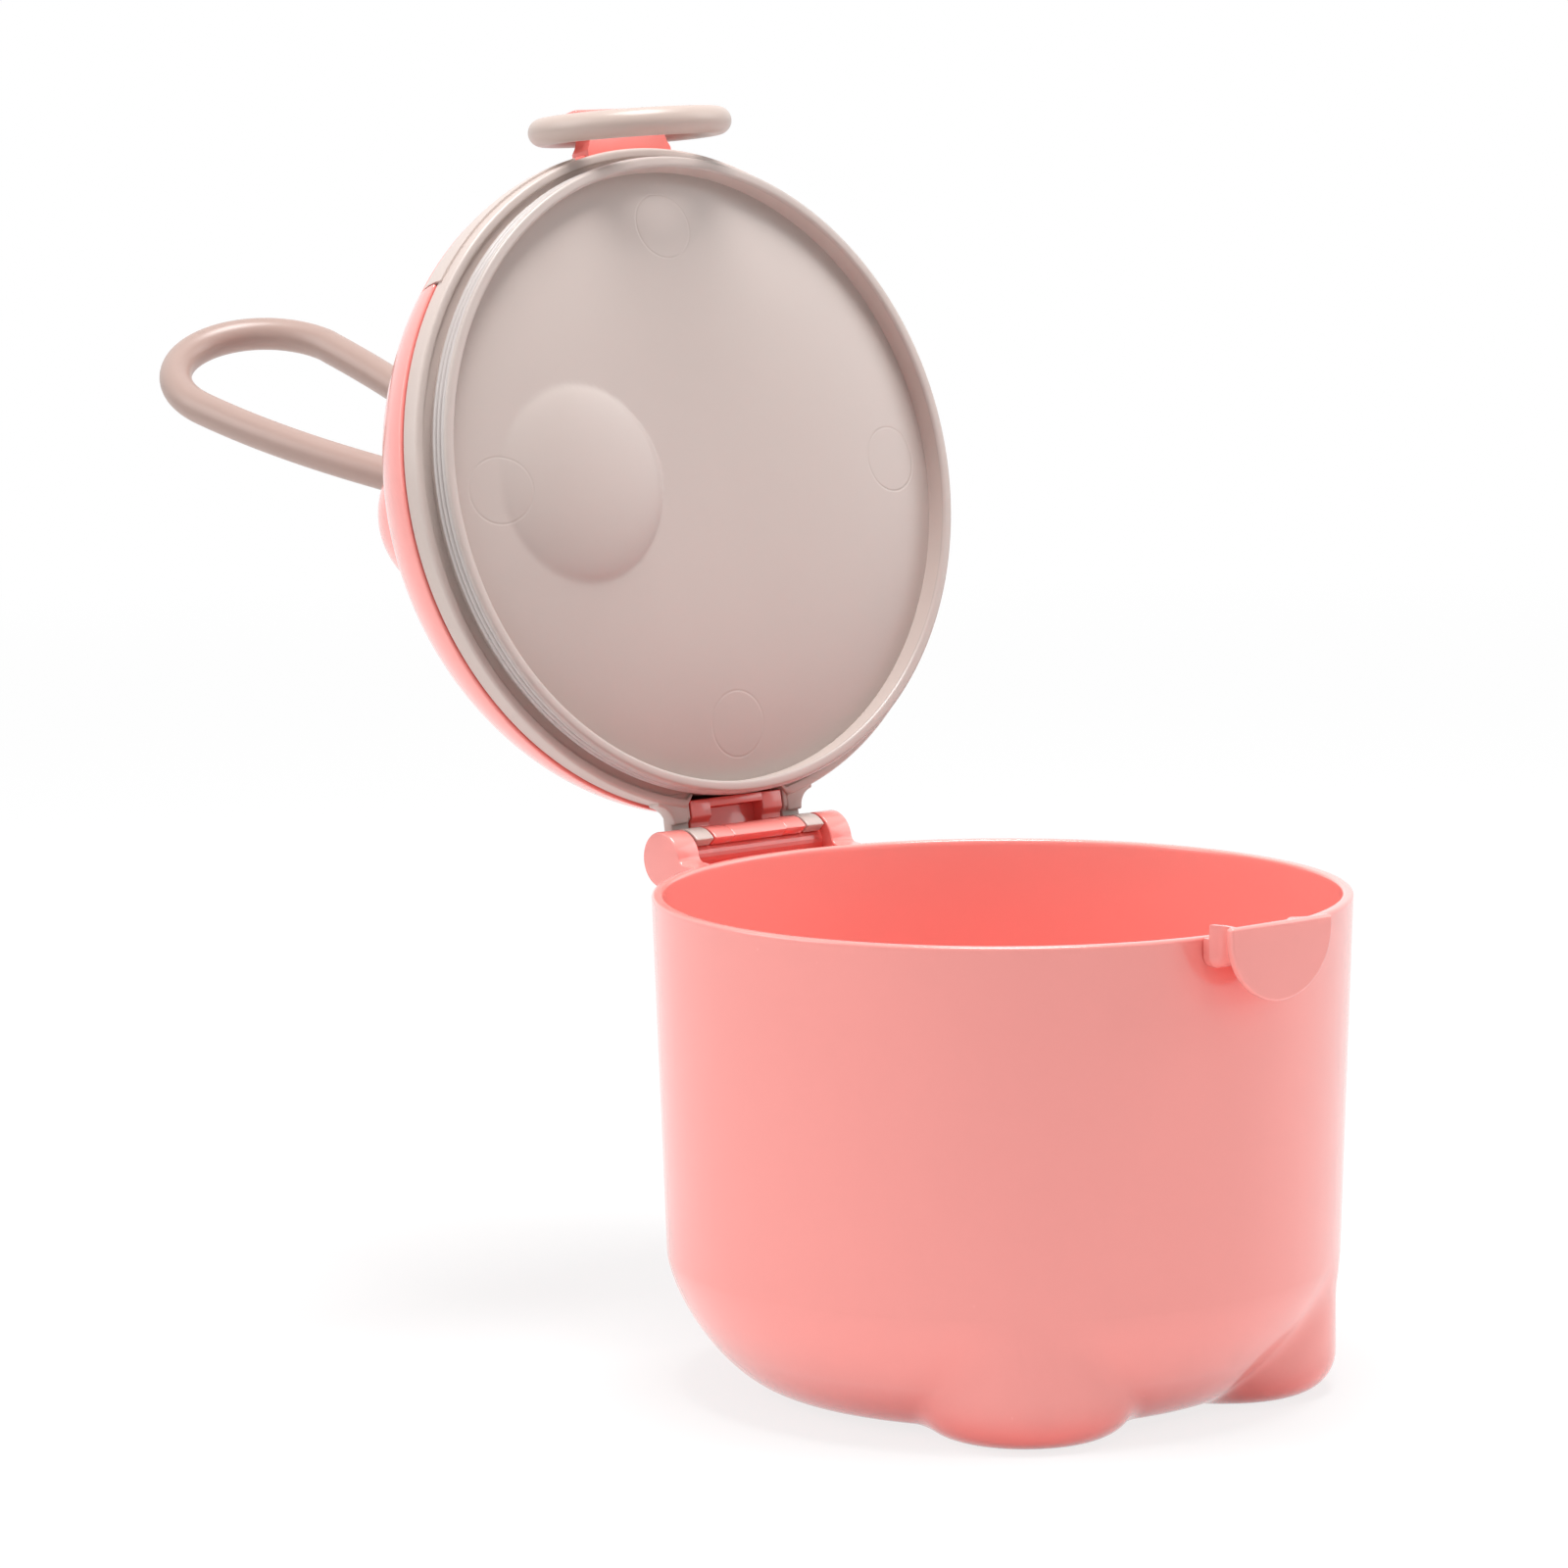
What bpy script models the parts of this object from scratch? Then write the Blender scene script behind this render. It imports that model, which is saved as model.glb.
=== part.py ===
# A small lidded pot for milk powder: a turned pot on three feet, and a domed lid that swings
# on a pin at the back. The lid is a shell over a liner with a seal, it carries a latch ring
# at the front and a carry loop that swivels on top. The lid stands open.
# Metres, +Z up, origin on the ground under the pot's middle, the latch towards -Y.
import math

import bmesh
import bpy
from mathutils import Vector

for old in list(bpy.data.objects):
    bpy.data.objects.remove(old, do_unlink=True)

# Clearances and fineness
gap = 0.0003                    # between neighbours
overrun = 0.0020                # how far a cutter passes what it cuts
round_steps = 48                # facets round the pot and the lid
small_steps = 32                # facets round feet, bumps and the catch
pin_steps = 24                  # facets round pins and bores

# Pot
pot_radius = 0.0500             # outside, at the rim
pot_height = 0.0710             # ground to rim
pot_wall = 0.0016
pot_floor = 0.0018
pot_draft_share = 0.032         # radius lost per depth below the rim
corner_height = 0.0182
corner_width = 0.0137
corner_power = 1.456
corner_steps = 9
rim_round = 0.0004
foot_drop = 0.0010              # the feet stand this far below the pot's floor
foot_radius = 0.0157
foot_edge = 0.0056              # rounding under a foot
foot_inset = 0.0003             # a foot's side lies this far inside the wall
foot_edge_steps = 4
foot_angles = (-126.9, -53.1, 90.0)
pad_clearance = 0.0022          # flat pad under the middle, short of the feet's flat soles

# Hinge
hinge_standoff = 0.0065         # pin axis behind the rim's outside
hinge_drop = 0.0003             # pin axis below the rim
pin_radius = 0.0021             # moulded rod that the lid hooks over
pin_half_length = 0.0156
knuckle_radius = 0.0042
knuckle_inner = 0.0128          # knuckles run from here out along the axis
knuckle_outer = 0.0169
knuckle_end_wall = 0.0010       # closes each pin hole
web_drop = 0.0006               # webs start below the rim
web_height = 0.0105
web_fillet = 0.0012             # slope from the rim up to a knuckle starts this far out
shelf_drop = 0.0008             # shelf between the knuckles, below the rim
shelf_reach = 0.0017            # shelf behind the rim's outside
shelf_round = 0.0018
shelf_height = 0.0100
hook_radius = 0.0042            # lid arms and tab hook over the rod
hook_tip = 240.0                # degrees round the rod where a hook ends, lid shut
hook_heel = -40.0               # and where it starts
hook_low = 0.0011               # undersides over the rod's axis, at the root
hook_knee = 0.0015              # undersides turn to the rod this far behind the rim's outside
hook_knee_rise = 0.0008
arm_width = 0.0033
arm_flare = 0.0030              # fillet from the arm to the band
open_angle = 102.72             # the lid's lean from shut

# Lid liner, depths count down from the seam between liner and shell
band_overhang = 0.0003          # band outside the pot's rim
band_height = 0.0033
band_wall = 0.0015
band_round = 0.0005
rim_gap = 0.0004                # band over rim when shut
recess_depth = 0.0011           # shadow groove inside the band
liner_sheet = 0.0016
liner_web = 0.0010
disc_depth = 0.0071             # at the middle, where the disc swells most
disc_power = 4.7
disc_steps = 8
crease_depth = 0.0037
lip_depth = 0.0077
lip_round = 0.0005
lip_flange = 0.0011
lip_overhang = 0.0009
plug_wall = 0.0010
plug_clearance = 0.0004         # lip inside the pot's wall
dimple_inset = 0.0085           # raised round on the liner's inside face, from the disc's edge
dimple_radius = 0.0145
dimple_height = 0.0018
side_wall_height = 0.0042       # liner wall that shows beside the catch
side_wall_from = 39.0           # degrees forward of the lid's side
side_wall_to = 78.0

# Seal
seal_rib = 0.00035
seal_rib_count = 3
seal_rise = 0.0001              # ribs beyond the lip

# Lid shell
dome_overhang = 0.0004          # dome outside the band
dome_height = 0.0329
dome_power = 1.73
dome_steps = 11
shell_wall = 0.0016
bump_offset = 0.0240
bump_radius = 0.0144
bump_centre_height = 0.0166
bump_rise = 0.0187
boss_radius = 0.0070
boss_depth = 0.0022             # socket boss below the dome's inside
tab_half_width = 0.0088
tab_root = 0.0018               # tab's root inside the rim's outside
tab_rise = 0.0022               # tab's root above the seam
pocket_half_width = 0.0051      # blind window in the tab's underside
pocket_near = 0.0070            # from the rod's axis
pocket_far = 0.0031
pocket_low = 0.0012             # below the rod's axis
pocket_high = 0.0036

# Catch, a long round button split between pot and lid, on a block with cut corners
catch_radius = 0.0095
catch_stretch = 0.0011          # each half's round is this far from the button's middle
catch_neck_half_width = 0.0079
catch_neck_side = 0.0048        # from the middle to the cut corner
catch_neck_end_half_width = 0.0070
catch_neck_end = 0.0060
catch_reach = 0.0068            # button face beyond the rim's outside
catch_plate = 0.0014
catch_rise = 0.0019             # button centre above the rim
catch_split = 0.0004            # split above the button's centre

# Latch ring
ring_radius = 0.01327
ring_bar = 0.00212
ring_bar_steps = 12
ring_steps = 40
ring_pivot_rise = 0.0041        # pivot above the ring's centre
ring_pivot_reach = 0.0043       # pivot beyond the rim's outside
ring_lean = 7.0                 # degrees inward at rest

# Carry loop, its own frame starts at the dome's top
loop_bar = 0.0026
loop_half_width = 0.0137
loop_side = 0.0700              # from the hidden root to the widest place
loop_cap = 0.0152
loop_start = 0.0165             # where the sides begin above the bottom bend
loop_root_depth = 0.0069
loop_root_back = 0.0023
loop_lean = 30.6
loop_turn = -19.0
loop_steps = 12
collar_radius = 0.0065
collar_height = 0.0036
collar_round = 0.0008
stem_radius = 0.0040
stem_head = 0.0009
stem_head_height = 0.0012
washer_radius = 0.0074
washer_thickness = 0.0013

# Places worked out from the sizes
corner_top = foot_drop + corner_height
corner_radius = pot_radius - pot_draft_share * (pot_height - corner_top)
floor_radius = corner_radius - corner_width
foot_reach = corner_radius - foot_radius - foot_inset
pad_radius = foot_reach - (foot_radius - foot_edge) - pad_clearance
hinge_reach = pot_radius + hinge_standoff
hinge_root = math.sqrt((pot_radius - pot_wall / 2) ** 2 - knuckle_outer ** 2)
arm_inner = tab_half_width + gap
arm_outer = arm_inner + arm_width
arm_middle = (arm_inner + arm_outer) / 2
seam_rise = band_height + rim_gap
seam_over_pin = seam_rise + hinge_drop
band_radius = pot_radius + band_overhang
dome_radius = band_radius + dome_overhang
lip_radius = pot_radius - pot_draft_share * (lip_depth - seam_rise) - pot_wall - plug_clearance
groove_radius = lip_radius - lip_overhang
plug_inner = groove_radius - plug_wall
dimple_offset = plug_inner - dimple_inset - dimple_radius
recess_top = band_height - recess_depth
pin_bore = pin_radius + gap
side_gap = math.degrees(gap / dome_radius)
catch_face = pot_radius + catch_reach


def plastic(name, colour, roughness, metallic=0.0, transmission=0.0):
    material = bpy.data.materials.new(name)
    material.use_nodes = True
    shader = material.node_tree.nodes["Principled BSDF"]
    shader.inputs["Base Color"].default_value = (*colour, 1.0)
    shader.inputs["Roughness"].default_value = roughness
    shader.inputs["Metallic"].default_value = metallic
    shader.inputs["Transmission Weight"].default_value = transmission
    material.diffuse_color = (*colour, 1.0)
    return material


def solid(name, mesh, material=None, parent=None, location=(0, 0, 0), rotation=(0, 0, 0)):
    piece = bpy.data.objects.new(name, mesh)
    bpy.context.scene.collection.objects.link(piece)
    piece.parent = parent
    piece.location = location
    piece.rotation_euler = rotation
    if material:
        mesh.materials.append(material)
    return piece


def marker(name, parent=None, location=(0, 0, 0), rotation=(0, 0, 0)):
    empty = solid(name, None, None, parent, location, rotation)
    empty.empty_display_size = pot_wall
    return empty


def finished(bm, name):
    bmesh.ops.remove_doubles(bm, verts=bm.verts, dist=gap / 1000)
    bmesh.ops.recalc_face_normals(bm, faces=bm.faces)
    mesh = bpy.data.meshes.new(name)
    bm.to_mesh(mesh)
    bm.free()
    mesh.shade_smooth()
    mesh.set_sharp_from_angle(angle=math.radians(35))
    return mesh


def turned(name, outline, steps, first=0.0, sweep=360.0):
    """A closed outline of (radius, height) points turned round Z, with end caps if it stops short."""
    bm = bmesh.new()
    whole = sweep == 360.0
    rings = []
    for step in range(steps if whole else steps + 1):
        angle = math.radians(first + sweep * step / steps)
        rings.append([bm.verts.new((r * math.cos(angle), r * math.sin(angle), z)) for r, z in outline])
    pairs = list(zip(rings, rings[1:]))
    if whole:
        pairs.append((rings[-1], rings[0]))
    for ring, following in pairs:
        for index in range(len(outline)):
            after = (index + 1) % len(outline)
            on_axis = [outline[index][0] == 0, outline[after][0] == 0]
            if all(on_axis):
                continue
            corners = [ring[index], ring[after], following[after], following[index]]
            if on_axis[0]:
                corners = corners[:3]
            elif on_axis[1]:
                corners = [corners[0], corners[1], corners[3]]
            bm.faces.new(corners)
    if not whole:
        bm.faces.new(rings[0])
        bm.faces.new(rings[-1])
    return finished(bm, name)


def prism(name, outline, axis, low, high):
    """A flat outline drawn across an axis and extruded along it from low to high."""
    turn = {"X": lambda a, b: (low, a, b), "Y": lambda a, b: (a, low, b), "Z": lambda a, b: (a, b, low)}
    bm = bmesh.new()
    face = bm.faces.new([bm.verts.new(turn[axis](a, b)) for a, b in outline])
    moved = bmesh.ops.extrude_face_region(bm, geom=[face], use_keep_orig=True)["geom"]
    shift = Vector([high - low if letter == axis else 0 for letter in "XYZ"])
    bmesh.ops.translate(bm, vec=shift, verts=[v for v in moved if isinstance(v, bmesh.types.BMVert)])
    return finished(bm, name)


def arc(centre, radius, first, last, steps):
    """Points on a circle about (a, b), from one angle to another in degrees."""
    angles = [math.radians(first + (last - first) * step / steps) for step in range(steps + 1)]
    return [(centre[0] + radius * math.cos(a), centre[1] + radius * math.sin(a)) for a in angles]


def swell(inner, outer, low, high, power, steps):
    """A quarter superellipse from (outer, low) to (inner, high)."""
    points = []
    for step in range(steps + 1):
        angle = math.pi / 2 * step / steps
        across = abs(math.cos(angle)) ** (2 / power) if step < steps else 0
        along = math.sin(angle) ** (2 / power)
        points.append((inner + (outer - inner) * across, low + (high - low) * along))
    return points


def combine(piece, other, operation):
    """Join another solid to a piece, or cut it out, and keep the other as a hidden wire guide."""
    other.hide_render = True
    other.display_type = "WIRE"
    step = piece.modifiers.new(other.name, "BOOLEAN")
    step.operation = operation
    step.solver = "EXACT"
    step.object = other


def add(piece, name, mesh, location=(0, 0, 0), rotation=(0, 0, 0)):
    place = Vector(piece.location) + Vector(location)
    combine(piece, solid(name, mesh, None, piece.parent, place, rotation), "UNION")


def cut(piece, name, mesh, location=(0, 0, 0), rotation=(0, 0, 0)):
    place = Vector(piece.location) + Vector(location)
    combine(piece, solid(name, mesh, None, piece.parent, place, rotation), "DIFFERENCE")


def rod(name, radius, low, high, steps):
    """A round bar along Z."""
    return turned(name, [(0, low), (radius, low), (radius, high), (0, high)], steps)


def cross_rod(name, radius, low, high, steps):
    """A round bar along X."""
    outline = arc((0, 0), radius, 0, 360, steps)[:-1]
    return prism(name, outline, "X", low, high)


def button_half(side):
    """Half of the catch's button across Y: side -1 is the pot's, 1 is the lid's."""
    edge = catch_split + side * gap / 2
    bend = arc((0, side * catch_stretch), catch_radius, 0, side * 180, small_steps // 2)
    return [(catch_radius, edge)] + bend + [(-catch_radius, edge)]


def neck_half(side, setback):
    """Half of the block behind the button, from the setback beyond the split."""
    edge = catch_split + side * (gap / 2 + setback)
    corners = [(catch_neck_half_width, edge), (catch_neck_half_width, side * catch_neck_side),
               (catch_neck_end_half_width, side * catch_neck_end)]
    return corners + [(-x, z) for x, z in corners[::-1]]


def pot_outside():
    corner = swell(floor_radius, corner_radius, corner_top, foot_drop, corner_power, corner_steps)
    rim = [(0, pot_height), (pot_radius - rim_round, pot_height), (pot_radius, pot_height - rim_round)]
    return rim + corner + [(pad_radius, foot_drop), (pad_radius, 0), (0, 0)]


def pot_inside():
    mouth = pot_radius - pot_wall
    above = pot_height + overrun
    floor_top = foot_drop + pot_floor
    corner = swell(floor_radius - pot_wall, corner_radius - pot_wall, corner_top, floor_top,
                   corner_power, corner_steps - 2)
    rim = [(0, above), (mouth + rim_round + overrun, above), (mouth, pot_height - rim_round)]
    return rim + corner + [(0, floor_top)]


def foot_outline():
    top = corner_top + overrun
    edge = arc((foot_radius - foot_edge, foot_edge), foot_edge, 0, -90, foot_edge_steps)
    return [(0, top), (foot_radius, top)] + edge + [(0, 0)]


def web_outline():
    """Side view of a knuckle and the web that carries it, in (y, z)."""
    top = pot_height - web_drop
    knuckle = arc((hinge_reach, pot_height - hinge_drop), knuckle_radius, 162, -98, small_steps - 8)
    low = top - web_height
    return [(hinge_root, top), (pot_radius + web_fillet, top)] + knuckle + [(hinge_root, low)]


def shelf_outline():
    """Side view of the shelf between the knuckles, in (y, z)."""
    top = pot_height - shelf_drop
    wall = hinge_root + gap
    bend = swell(pot_radius, pot_radius + shelf_reach, top - shelf_round, top, 2, 4)
    return [(wall, top - shelf_height)] + bend + [(wall, top)]


def make_pot(material):
    pot = solid("pot", turned("pot", pot_outside(), round_steps), material)
    for number, degrees in enumerate(foot_angles):
        angle = math.radians(degrees)
        place = (foot_reach * math.cos(angle), foot_reach * math.sin(angle), 0)
        add(pot, f"foot_{number}", turned("foot", foot_outline(), small_steps), place)
    pin_place = (0, hinge_reach, pot_height - hinge_drop)
    for side in (-1, 1):
        ends = sorted((side * knuckle_inner, side * knuckle_outer))
        add(pot, f"web_{side}", prism("web", web_outline(), "X", *ends))
        bore = sorted((side * (knuckle_inner - overrun), side * (knuckle_outer - knuckle_end_wall)))
        cut(pot, f"bore_{side}", cross_rod("bore", pin_bore, *bore, pin_steps), pin_place)
    shelf_end = (knuckle_inner + knuckle_outer) / 2
    add(pot, "shelf", prism("shelf", shelf_outline(), "X", -shelf_end, shelf_end))
    button = (0, 0, pot_height + catch_rise)
    neck_end = catch_face - catch_plate / 2
    neck = prism("neck", neck_half(-1, gap), "Y", -neck_end, -pot_radius + pot_wall)
    plate = prism("plate", button_half(-1), "Y", -catch_face, -catch_face + catch_plate)
    add(pot, "catch_neck", neck, button)
    add(pot, "catch_plate", plate, button)
    cut(pot, "pot_cavity", turned("pot_cavity", pot_inside(), round_steps))
    band_low = pot_height + rim_gap - gap
    room = rod("band_room", band_radius + gap, band_low, pot_height + catch_rise + overrun, round_steps)
    cut(pot, "band_room", room)
    return pot


def make_pin(material):
    mesh = cross_rod("hinge_pin", pin_radius, -pin_half_length, pin_half_length, pin_steps)
    return solid("hinge_pin", mesh, material, None, (0, hinge_reach, pot_height - hinge_drop))


def disc_curve(offset):
    """The liner's swelling disc from its middle out to the crease."""
    points = []
    for step in range(disc_steps + 1):
        share = math.sin(math.pi / 2 * step / disc_steps)
        depth = crease_depth + (disc_depth - crease_depth) * (1 - share ** disc_power)
        points.append((plug_inner * share, offset - depth))
    return points


def liner_outline():
    lip_inner = arc((plug_inner + lip_round, lip_round - lip_depth), lip_round, 180, 270, 2)
    lip_outer = arc((lip_radius - lip_round, lip_round - lip_depth), lip_round, 270, 360, 2)
    band_edge = arc((band_radius - band_round, band_round - band_height), band_round, 270, 360, 2)
    skirt = band_radius - band_wall
    ledge = liner_web - recess_top
    under = disc_curve(0) + lip_inner + lip_outer
    groove = [(lip_radius, lip_flange - lip_depth), (groove_radius, lip_flange - lip_depth),
              (groove_radius, -recess_top), (skirt, -recess_top), (skirt, -band_height)]
    over = [(band_radius, -gap), (skirt, -gap), (skirt, ledge), (groove_radius, ledge)]
    return under + groove + band_edge + over + disc_curve(liner_sheet)[::-1]


def dome_outline(radius, height, low, high, steps):
    """Points up the dome's side between two heights, for a dome of this radius and height."""
    points = []
    for step in range(steps + 1):
        z = low + (high - low) * step / steps
        share = max(0, 1 - (max(z, 0) / height) ** dome_power)
        points.append((radius * share ** (1 / dome_power), z))
    return points


def side_wall_outline():
    outer = dome_outline(dome_radius, dome_height, -band_height / 2, side_wall_height, 4)
    outer[0] = (band_radius - band_round, outer[0][1])
    inner = dome_outline(dome_radius - shell_wall, dome_height - shell_wall, -band_height / 2,
                         side_wall_height, 4)
    return outer + inner[::-1]


def dimple_outline():
    """A flat cap that swells from the liner's inside face, sunk into the sheet behind it."""
    sunk = liner_sheet / 2
    depth = dimple_height + sunk
    width = dimple_radius / math.sqrt(1 - (sunk / depth) ** 2)
    face = [(width * math.cos(a), -depth * math.sin(a)) for a in
            [math.pi / 2 * step / 6 for step in range(7)]]
    face[-1] = (0, -depth)
    return face + [(0, 0)]


def hook_outline(root, top):
    """Side view of a lid arm or the tab that hooks over the rod, in (y, z) from its axis."""
    under = [(root, top), (root, hook_low), (hook_knee - hinge_standoff, hook_low + hook_knee_rise)]
    front = arc((0, 0), hook_radius, 152, hook_tip, 6)
    bore = arc((0, 0), pin_bore, hook_tip, hook_heel, 20)
    back = arc((0, 0), hook_radius, hook_heel, 100, 8)
    return under + front + bore + back


def flare_outline(side):
    """Plan of the fillets between an arm and the band, in (x, y) from the pin."""
    near = -hinge_standoff + arm_flare / 2
    root = -hinge_standoff - 2 * band_wall
    bend = arc((arm_outer + arm_flare, near), arm_flare, 180, 270, 5)
    points = [(arm_middle, root), (arm_middle, near)] + bend + [(arm_outer + arm_flare, root)]
    return [(side * x, y) for x, y in points]


def make_liner(material, hinge, seam):
    liner = solid("lid_liner", turned("lid_liner", liner_outline(), round_steps), material, hinge, seam)
    for side, first in ((-1, 180 + side_wall_from), (1, 360 - side_wall_to)):
        sweep = side_wall_to - side_wall_from - 2 * side_gap
        wall = turned("side_wall", side_wall_outline(), 8, first + side_gap, sweep)
        add(liner, f"side_wall_{side}", wall)
    sunk = liner_sheet / 2 - disc_depth
    add(liner, "dimple", turned("dimple", dimple_outline(), small_steps), (-dimple_offset, 0, sunk))
    pin = -Vector(seam)
    near = pot_radius - tab_root - gap
    notch = [(-arm_middle, near), (arm_middle, near), (arm_middle, hinge_reach), (-arm_middle, hinge_reach)]
    cut(liner, "tab_notch", prism("tab_notch", notch, "Z", -band_height - overrun, overrun))
    arm = hook_outline(-hinge_standoff - band_wall, seam_over_pin - 3 * gap / 2)
    for side in (-1, 1):
        ends = sorted((side * arm_inner, side * arm_outer))
        add(liner, f"arm_{side}", prism("arm", arm, "X", *ends), pin)
        low = seam_over_pin - band_height + gap
        flare = prism("flare", flare_outline(side), "Z", low, seam_over_pin - 2 * gap)
        add(liner, f"flare_{side}", flare, pin)
    return liner


def seal_outline():
    """Ribbed outside, plain inside, between the recess and the lip's flange."""
    top = -recess_top - recess_depth
    bottom = lip_flange + gap - lip_depth
    inner = groove_radius + gap
    crest = lip_radius + seal_rise
    outer = []
    spaces = 2 * seal_rib_count
    for step in range(spaces + 1):
        radius = crest - seal_rib if step % 2 == 0 else crest
        outer.append((radius, bottom + (top - bottom) * step / spaces))
    return [(inner, bottom)] + outer + [(inner, top)]


def make_seal(material, hinge, seam):
    return solid("lid_seal", turned("lid_seal", seal_outline(), round_steps), material, hinge, seam)


def ellipsoid(name, radius, rise):
    face = [(radius * math.cos(a), rise * math.sin(a)) for a in
            [math.pi * (step / 16 - 0.5) for step in range(17)]]
    face[0] = (0, -rise)
    face[-1] = (0, rise)
    return turned(name, face, small_steps)


def pocket_outline():
    """Side view of the blind window in the tab, in (y, z) from the rod's axis."""
    mouth = (-hook_radius - gap, -pocket_low)
    floor = [(-pocket_far, -pocket_low / 3), (-pocket_far, pocket_high), (-pocket_near, pocket_high)]
    return [mouth] + floor + [(-pocket_near, -pocket_low)]


def sector_outline(first, last):
    """Plan of the slice that the liner's side wall fills."""
    inner = dome_radius - 4 * shell_wall
    outer = dome_radius + overrun
    return arc((0, 0), outer, first, last, 6) + arc((0, 0), inner, last, first, 6)


def make_shell(material, hinge, seam):
    outside = swell(0, dome_radius, 0, dome_height, dome_power, dome_steps) + [(0, 0)]
    shell = solid("lid_shell", turned("lid_shell", outside, round_steps), material, hinge, seam)
    for side in (-1, 1):
        place = (side * bump_offset, 0, bump_centre_height)
        add(shell, f"bump_{side}", ellipsoid("bump", bump_radius, bump_rise), place)
    inner = dome_radius - shell_wall
    inside = swell(0, inner, 2 * gap, dome_height - shell_wall, dome_power, dome_steps - 3)
    below = bump_centre_height - bump_rise - overrun
    inside = [(inner, below)] + inside + [(0, below)]
    half_facet = 180 / round_steps
    cut(shell, "dome_cavity", turned("dome_cavity", inside, round_steps, half_facet))
    for side in (-1, 1):
        place = (side * bump_offset, 0, bump_centre_height)
        hollow = ellipsoid("bump_hollow", bump_radius - shell_wall, bump_rise - shell_wall)
        cut(shell, f"bump_hollow_{side}", hollow, place)
    for side, first in ((-1, 180 + side_wall_from), (1, 360 - side_wall_to)):
        plan = sector_outline(first, first + side_wall_to - side_wall_from)
        sector = prism("sector", plan, "Z", -overrun, side_wall_height + gap)
        cut(shell, f"sector_{side}", sector)
    boss_low = dome_height - shell_wall - boss_depth
    boss = rod("boss", boss_radius, boss_low, dome_height - shell_wall / 2, small_steps)
    add(shell, "boss", boss)
    hole = rod("socket", stem_radius + gap, boss_low - overrun, dome_height + overrun, pin_steps)
    cut(shell, "socket", hole)
    pin = -Vector(seam)
    tab = hook_outline(-hinge_standoff - tab_root, seam_over_pin + tab_rise)
    add(shell, "tab", prism("tab", tab, "X", -tab_half_width, tab_half_width), pin)
    pocket = prism("tab_pocket", pocket_outline(), "X", -pocket_half_width, pocket_half_width)
    cut(shell, "tab_pocket", pocket, pin)
    button = (0, 0, catch_rise - seam_rise)
    front = band_radius + gap
    neck_end = catch_face - catch_plate / 2
    neck = prism("neck", neck_half(1, gap), "Y", -neck_end, -front)
    plate = prism("plate", button_half(1), "Y", -catch_face, -catch_face + catch_plate)
    root_side = catch_neck_end_half_width - gap
    root_low = seam_rise - catch_rise + gap
    root_high = catch_neck_end - gap
    root_plan = [(-root_side, root_low), (root_side, root_low), (root_side, root_high), (-root_side, root_high)]
    root = prism("root", root_plan, "Y", -front - catch_plate, -dome_radius + 2 * shell_wall)
    add(shell, "lid_catch_neck", neck, button)
    add(shell, "lid_catch_plate", plate, button)
    add(shell, "lid_catch_root", root, button)
    return shell


def make_ring(material, hinge, seam):
    pivot_height = seam[2] + catch_rise - seam_rise + ring_pivot_rise
    pivot = marker("ring_pivot", hinge, (0, seam[1] - pot_radius - ring_pivot_reach, pivot_height),
                   (math.radians(ring_lean), 0, 0))
    section = arc((ring_radius, 0), ring_bar, 0, 360, ring_bar_steps)[:-1]
    mesh = turned("latch_ring", section, ring_steps)
    return solid("latch_ring", mesh, material, pivot, (0, 0, -ring_pivot_rise), (math.pi / 2, 0, 0))


def loop_path():
    """The loop's middle line: a round bottom bend, sides that swell apart, and a round cap."""
    def width(along):
        return loop_half_width * math.sin(along / loop_side * math.pi / 2)
    side = []
    for step in range(loop_steps + 1):
        along = loop_start + (loop_side - loop_start) * step / loop_steps
        side.append((width(along), along))
    cap = [(loop_half_width * math.cos(a), loop_side + loop_cap * math.sin(a)) for a in
           [math.pi * step / loop_steps for step in range(1, loop_steps)]]
    bend = arc((0, loop_start), width(loop_start), 180, 360, 6)[1:-1]
    flat = side + cap + [(-x, along) for x, along in side[::-1]] + bend
    lean = math.radians(loop_lean)
    return [(x, loop_root_back - along * math.sin(lean), along * math.cos(lean) - loop_root_depth)
            for x, along in flat]


def tube(name, points, radius):
    """A closed round tube through the points, as a mesh."""
    curve = bpy.data.curves.new(name, "CURVE")
    curve.dimensions = "3D"
    curve.bevel_depth = radius
    curve.bevel_resolution = 3
    spline = curve.splines.new("POLY")
    spline.points.add(len(points) - 1)
    for point, place in zip(spline.points, points):
        point.co = (*place, 1)
    spline.use_cyclic_u = True
    guide = bpy.data.objects.new(name, curve)
    mesh = bpy.data.meshes.new_from_object(guide)
    bpy.data.objects.remove(guide)
    bm = bmesh.new()
    bm.from_mesh(mesh)
    return finished(bm, name)


def stem_outline():
    """Collar over the shell, stem through its socket, and the head that holds the washer."""
    top = collar_height + gap
    foot = shell_wall + boss_depth + washer_thickness + 2 * gap
    edge = arc((collar_radius - collar_round, top - collar_round), collar_round, 0, 90, 2)
    head = stem_radius + stem_head
    low = [(0, -foot - stem_head_height), (stem_radius, -foot - stem_head_height), (head, -foot)]
    return low + [(stem_radius, -foot), (stem_radius, gap), (collar_radius, gap)] + edge + [(0, top)]


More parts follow.
